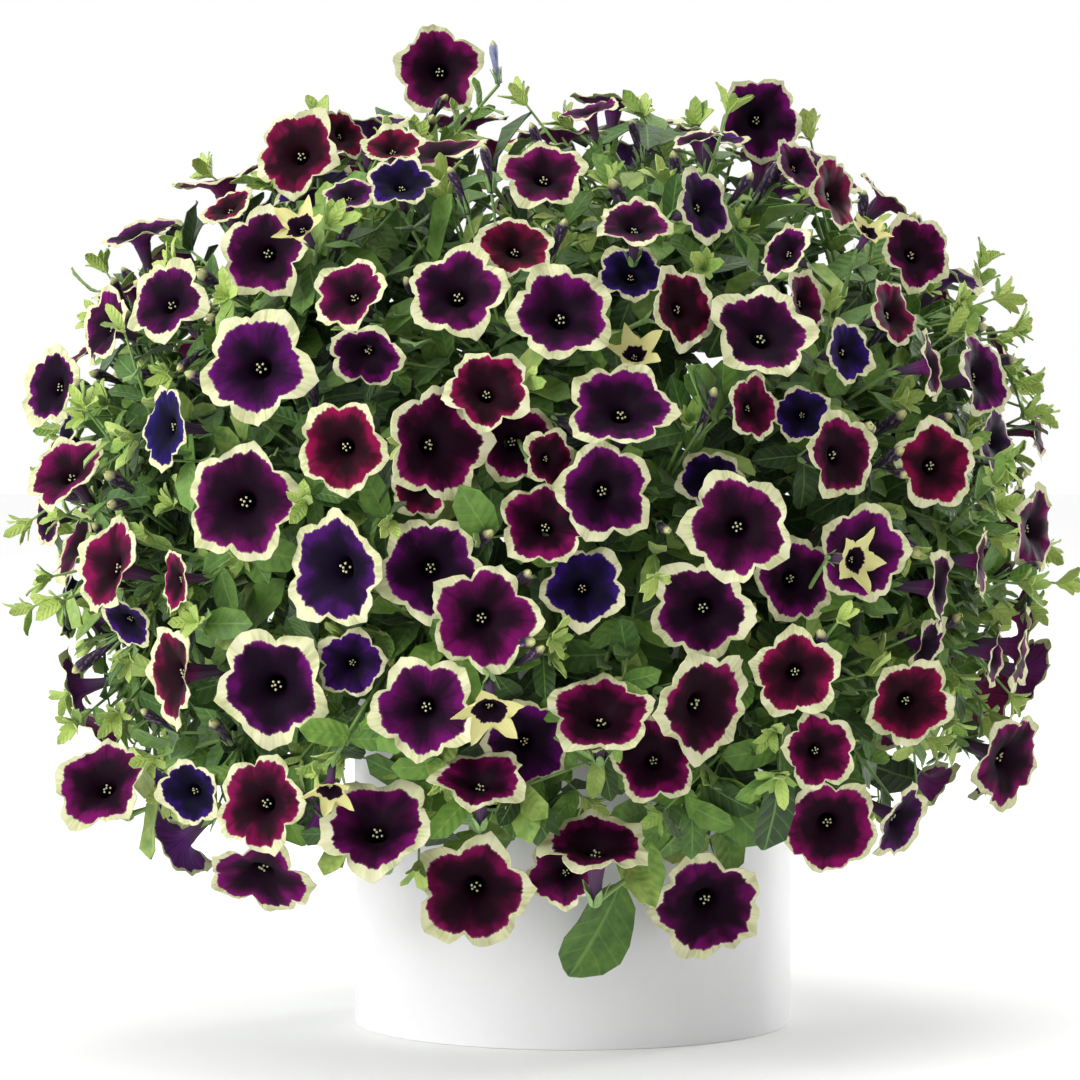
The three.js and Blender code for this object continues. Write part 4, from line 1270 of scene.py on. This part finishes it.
for k, stem in enumerate(stems):
    shares = np.linspace(0, 1, stalkPlan["stemSteps"])
    route = [stem["foot"] - upward * stalkPlan["rootDepth"]] + [stem["curve"](share) for share in shares]
    thick, thin = stalkPlan["stem"]
    lines = [(route, [stalkPlan["foot"], *np.linspace(thick, thin, len(shares))])]
    lines += [(straight(shoot["line"], 6), stalkPlan["shoot"]) for shoot in onThis(shoots, k)]
    lines += [(straight(sprig["line"], 6), stalkPlan["sprig"]) for sprig in onThis(sprigs, k)]
    skin = lineSkin("stem", lines, stemGreen, 2)
    grown = [leafCopy("large", leaf) for leaf in onThis(leaves, k)]
    grown += [leafCopy("small", leaf) for leaf in onThis(smallLeaves, k)]
    piece = joined([skin, *grown], "leafyStem")
    standFor(piece, f"petuniaFoliage_{k + 1:02d}", f"leafy_stem_{k + 1:02d}")
print("sprays and stems joined")


# The pot: one moulded skin, its wall and floor, with drain holes
outer, inner, edge = pot["radius"], pot["radius"] - pot["wall"], pot["edge"]
high, base = pot["height"], pot["floor"]
profile = [
    (8, 0), (outer - 22, 0), (outer - edge, 0), (outer - 0.4, 0.4), (outer, edge), (outer, high / 3),
    (outer, high * 2 / 3), (outer, high - edge), (outer - 0.4, high - 0.4), (outer - edge, high),
    (inner + edge, high), (inner + 0.4, high - 0.4), (inner, high - edge), (inner, high / 2),
    (inner, base + edge), (inner - edge, base), (8, base),
]
whitePot = extrudeProfile("pot", pot["sides"], [(radius * mm, height * mm) for radius, height in profile])
faceOut(whitePot, closeEnds=True)
for i in range(pot["drainCount"]):
    angle = (i + 0.5) * fullTurn / pot["drainCount"]
    x, y = [pot["drainRing"] * mm * part(angle) for part in (math.cos, math.sin)]
    pick()
    bpy.ops.mesh.primitive_cylinder_add(
        vertices=32, radius=pot["drainRadius"] * mm, depth=30 * mm, location=(x, y, 0),
    )
    drill = bpy.context.object
    applyModifier(whitePot, "BOOLEAN", operation="DIFFERENCE", object=drill)
    bpy.data.objects.remove(drill)
whitePot.data.materials.append(potWhite)
smooth(whitePot, 35)
standFor(whitePot, "whitePot", "pot")


# Compost: a crowned surface of lumps, with loose crumbs
wide = pot["radius"] - pot["wall"] - soil["play"]
low = pot["floor"] + soil["floorGap"]
top, crown = soil["top"], soil["crown"]
profile = [(4, low), (wide - 3, low), (wide, low + 3), (wide, top - crown - 2), (wide - 2, top - crown)]
for share in np.linspace(0.94, 0.03, 34):
    profile.append((wide * share, top - crown * share ** 2))
compost = extrudeProfile("compost", 120, [(radius * mm, height * mm) for radius, height in profile])
faceOut(compost, closeEnds=True)
lumps = bpy.data.textures.new("lumps", "CLOUDS")
lumps.noise_scale = soil["lumpWide"] * mm
places = placesOf(compost)
bed = (places[:, 2] > (top - crown - 0.5) * mm) & (np.hypot(*places[:, :2].T) < (wide - 4) * mm)
loose = compost.vertex_groups.new(name="surface")
loose.add([int(i) for i in np.where(bed)[0]], 1, "REPLACE")
applyModifier(
    compost, "DISPLACE", texture=lumps, texture_coords="LOCAL", strength=soil["lumpTall"] * mm,
    mid_level=0.62, vertex_group=loose.name,
)
compost.data.materials.append(peatBrown)
crumb = bead(1, (0, 0, 0), peatBrown)
crumbPlaces = placesOf(crumb)
crumbs = []
for i in range(soil["crumbs"]):
    radius = (wide - 6) * math.sqrt(random.random())
    angle = random.uniform(0, fullTurn)
    size = random.uniform(*soil["crumbSize"])
    knobbly = crumbPlaces * random.uniform(0.7, 1.2, crumbPlaces.shape) * size
    height = top - crown * (radius / wide) ** 2 + size * 0.2
    seat = np.array((radius * math.cos(angle), radius * math.sin(angle), height))
    crumbs.append(copyShape(crumb, (knobbly + seat) * mm))
standFor(joined([compost, *crumbs], "compost"), "pottingCompost", "potting_soil")
print("pot and compost made")

for model in (crumb, bloomModel, budModel, *leafModels.values()):
    bpy.data.objects.remove(model)

# Plain pale floor, and soft studio light that comes mostly from the upper left
pick()
bpy.ops.mesh.primitive_plane_add(size=14)
floor = bpy.context.object
floor.name = "studioFloor"
floor.data.materials.append(grainedMaterial(
    "paleFloor", [(0.3, "#fbfbfb"), (0.7, "#ffffff")], 6, 0.02, Roughness=0.6, Emission_Strength=0.08,
))

studio = {
    "light": "#ffffff", "shaded": "#909090", "strength": 1.0, "shadedWay": (0.62, -0.77, 0.12),
    "lights": {  # place, size and watts
        "key": ((-3.0, -2.2, 1.9), 2.6, 97),
        "edge": ((2.4, 2.4, 0.9), 1.2, 50),
        "top": ((0.2, 0.6, 3.0), 2.4, 24),
    },
    "aim": (0, 0, 0.28), "cameraAim": (-0.018, 0, 0.265), "lens": 182,
}
world = bpy.data.worlds.new("paleStudio")
world.use_nodes = True
# The room is a little darker to the right of where the photographer stood
background = world.node_tree.nodes["Background"]
background.inputs["Strength"].default_value = studio["strength"]
sight = addNode(world, "TexCoord", out="Generated")
facing = addNode(world, "VectorMath DOT_PRODUCT", sight, studio["shadedWay"], out="Value")
dim = addNode(world, "ValToRGB", facing, stops=[(0.25, studio["light"]), (0.95, studio["shaded"])])
world.node_tree.links.new(dim, background.inputs["Color"])
bpy.context.scene.world = world
for name, (place, size, watts) in studio["lights"].items():
    light = bpy.data.lights.new(name + "Light", "AREA")
    light.shape = "DISK"
    light.size = size
    light.energy = watts
    lamp = bpy.data.objects.new(name + "Light", light)
    lamp.location = place
    lamp.rotation_euler = (Vector(studio["aim"]) - lamp.location).to_track_quat("-Z", "Y").to_euler()
    bpy.context.collection.objects.link(lamp)

camera = bpy.data.cameras.new("camera")
camera.sensor_width = 36
camera.lens = studio["lens"]
camera.clip_end = 100
cameraPiece = bpy.data.objects.new("camera", camera)
cameraPiece.location = Vector(eye * mm)
look = Vector(studio["cameraAim"]) - cameraPiece.location
cameraPiece.rotation_euler = look.to_track_quat("-Z", "Y").to_euler()
bpy.context.collection.objects.link(cameraPiece)
bpy.context.scene.camera = cameraPiece
bpy.context.scene.view_settings.view_transform = "Standard"

triangles = [
    sum(len(face.vertices) - 2 for face in piece.data.polygons)
    for piece in bpy.data.objects if piece.type == "MESH" and not piece.hide_render
]
print("triangles:", sum(triangles), "most in one piece:", max(triangles))
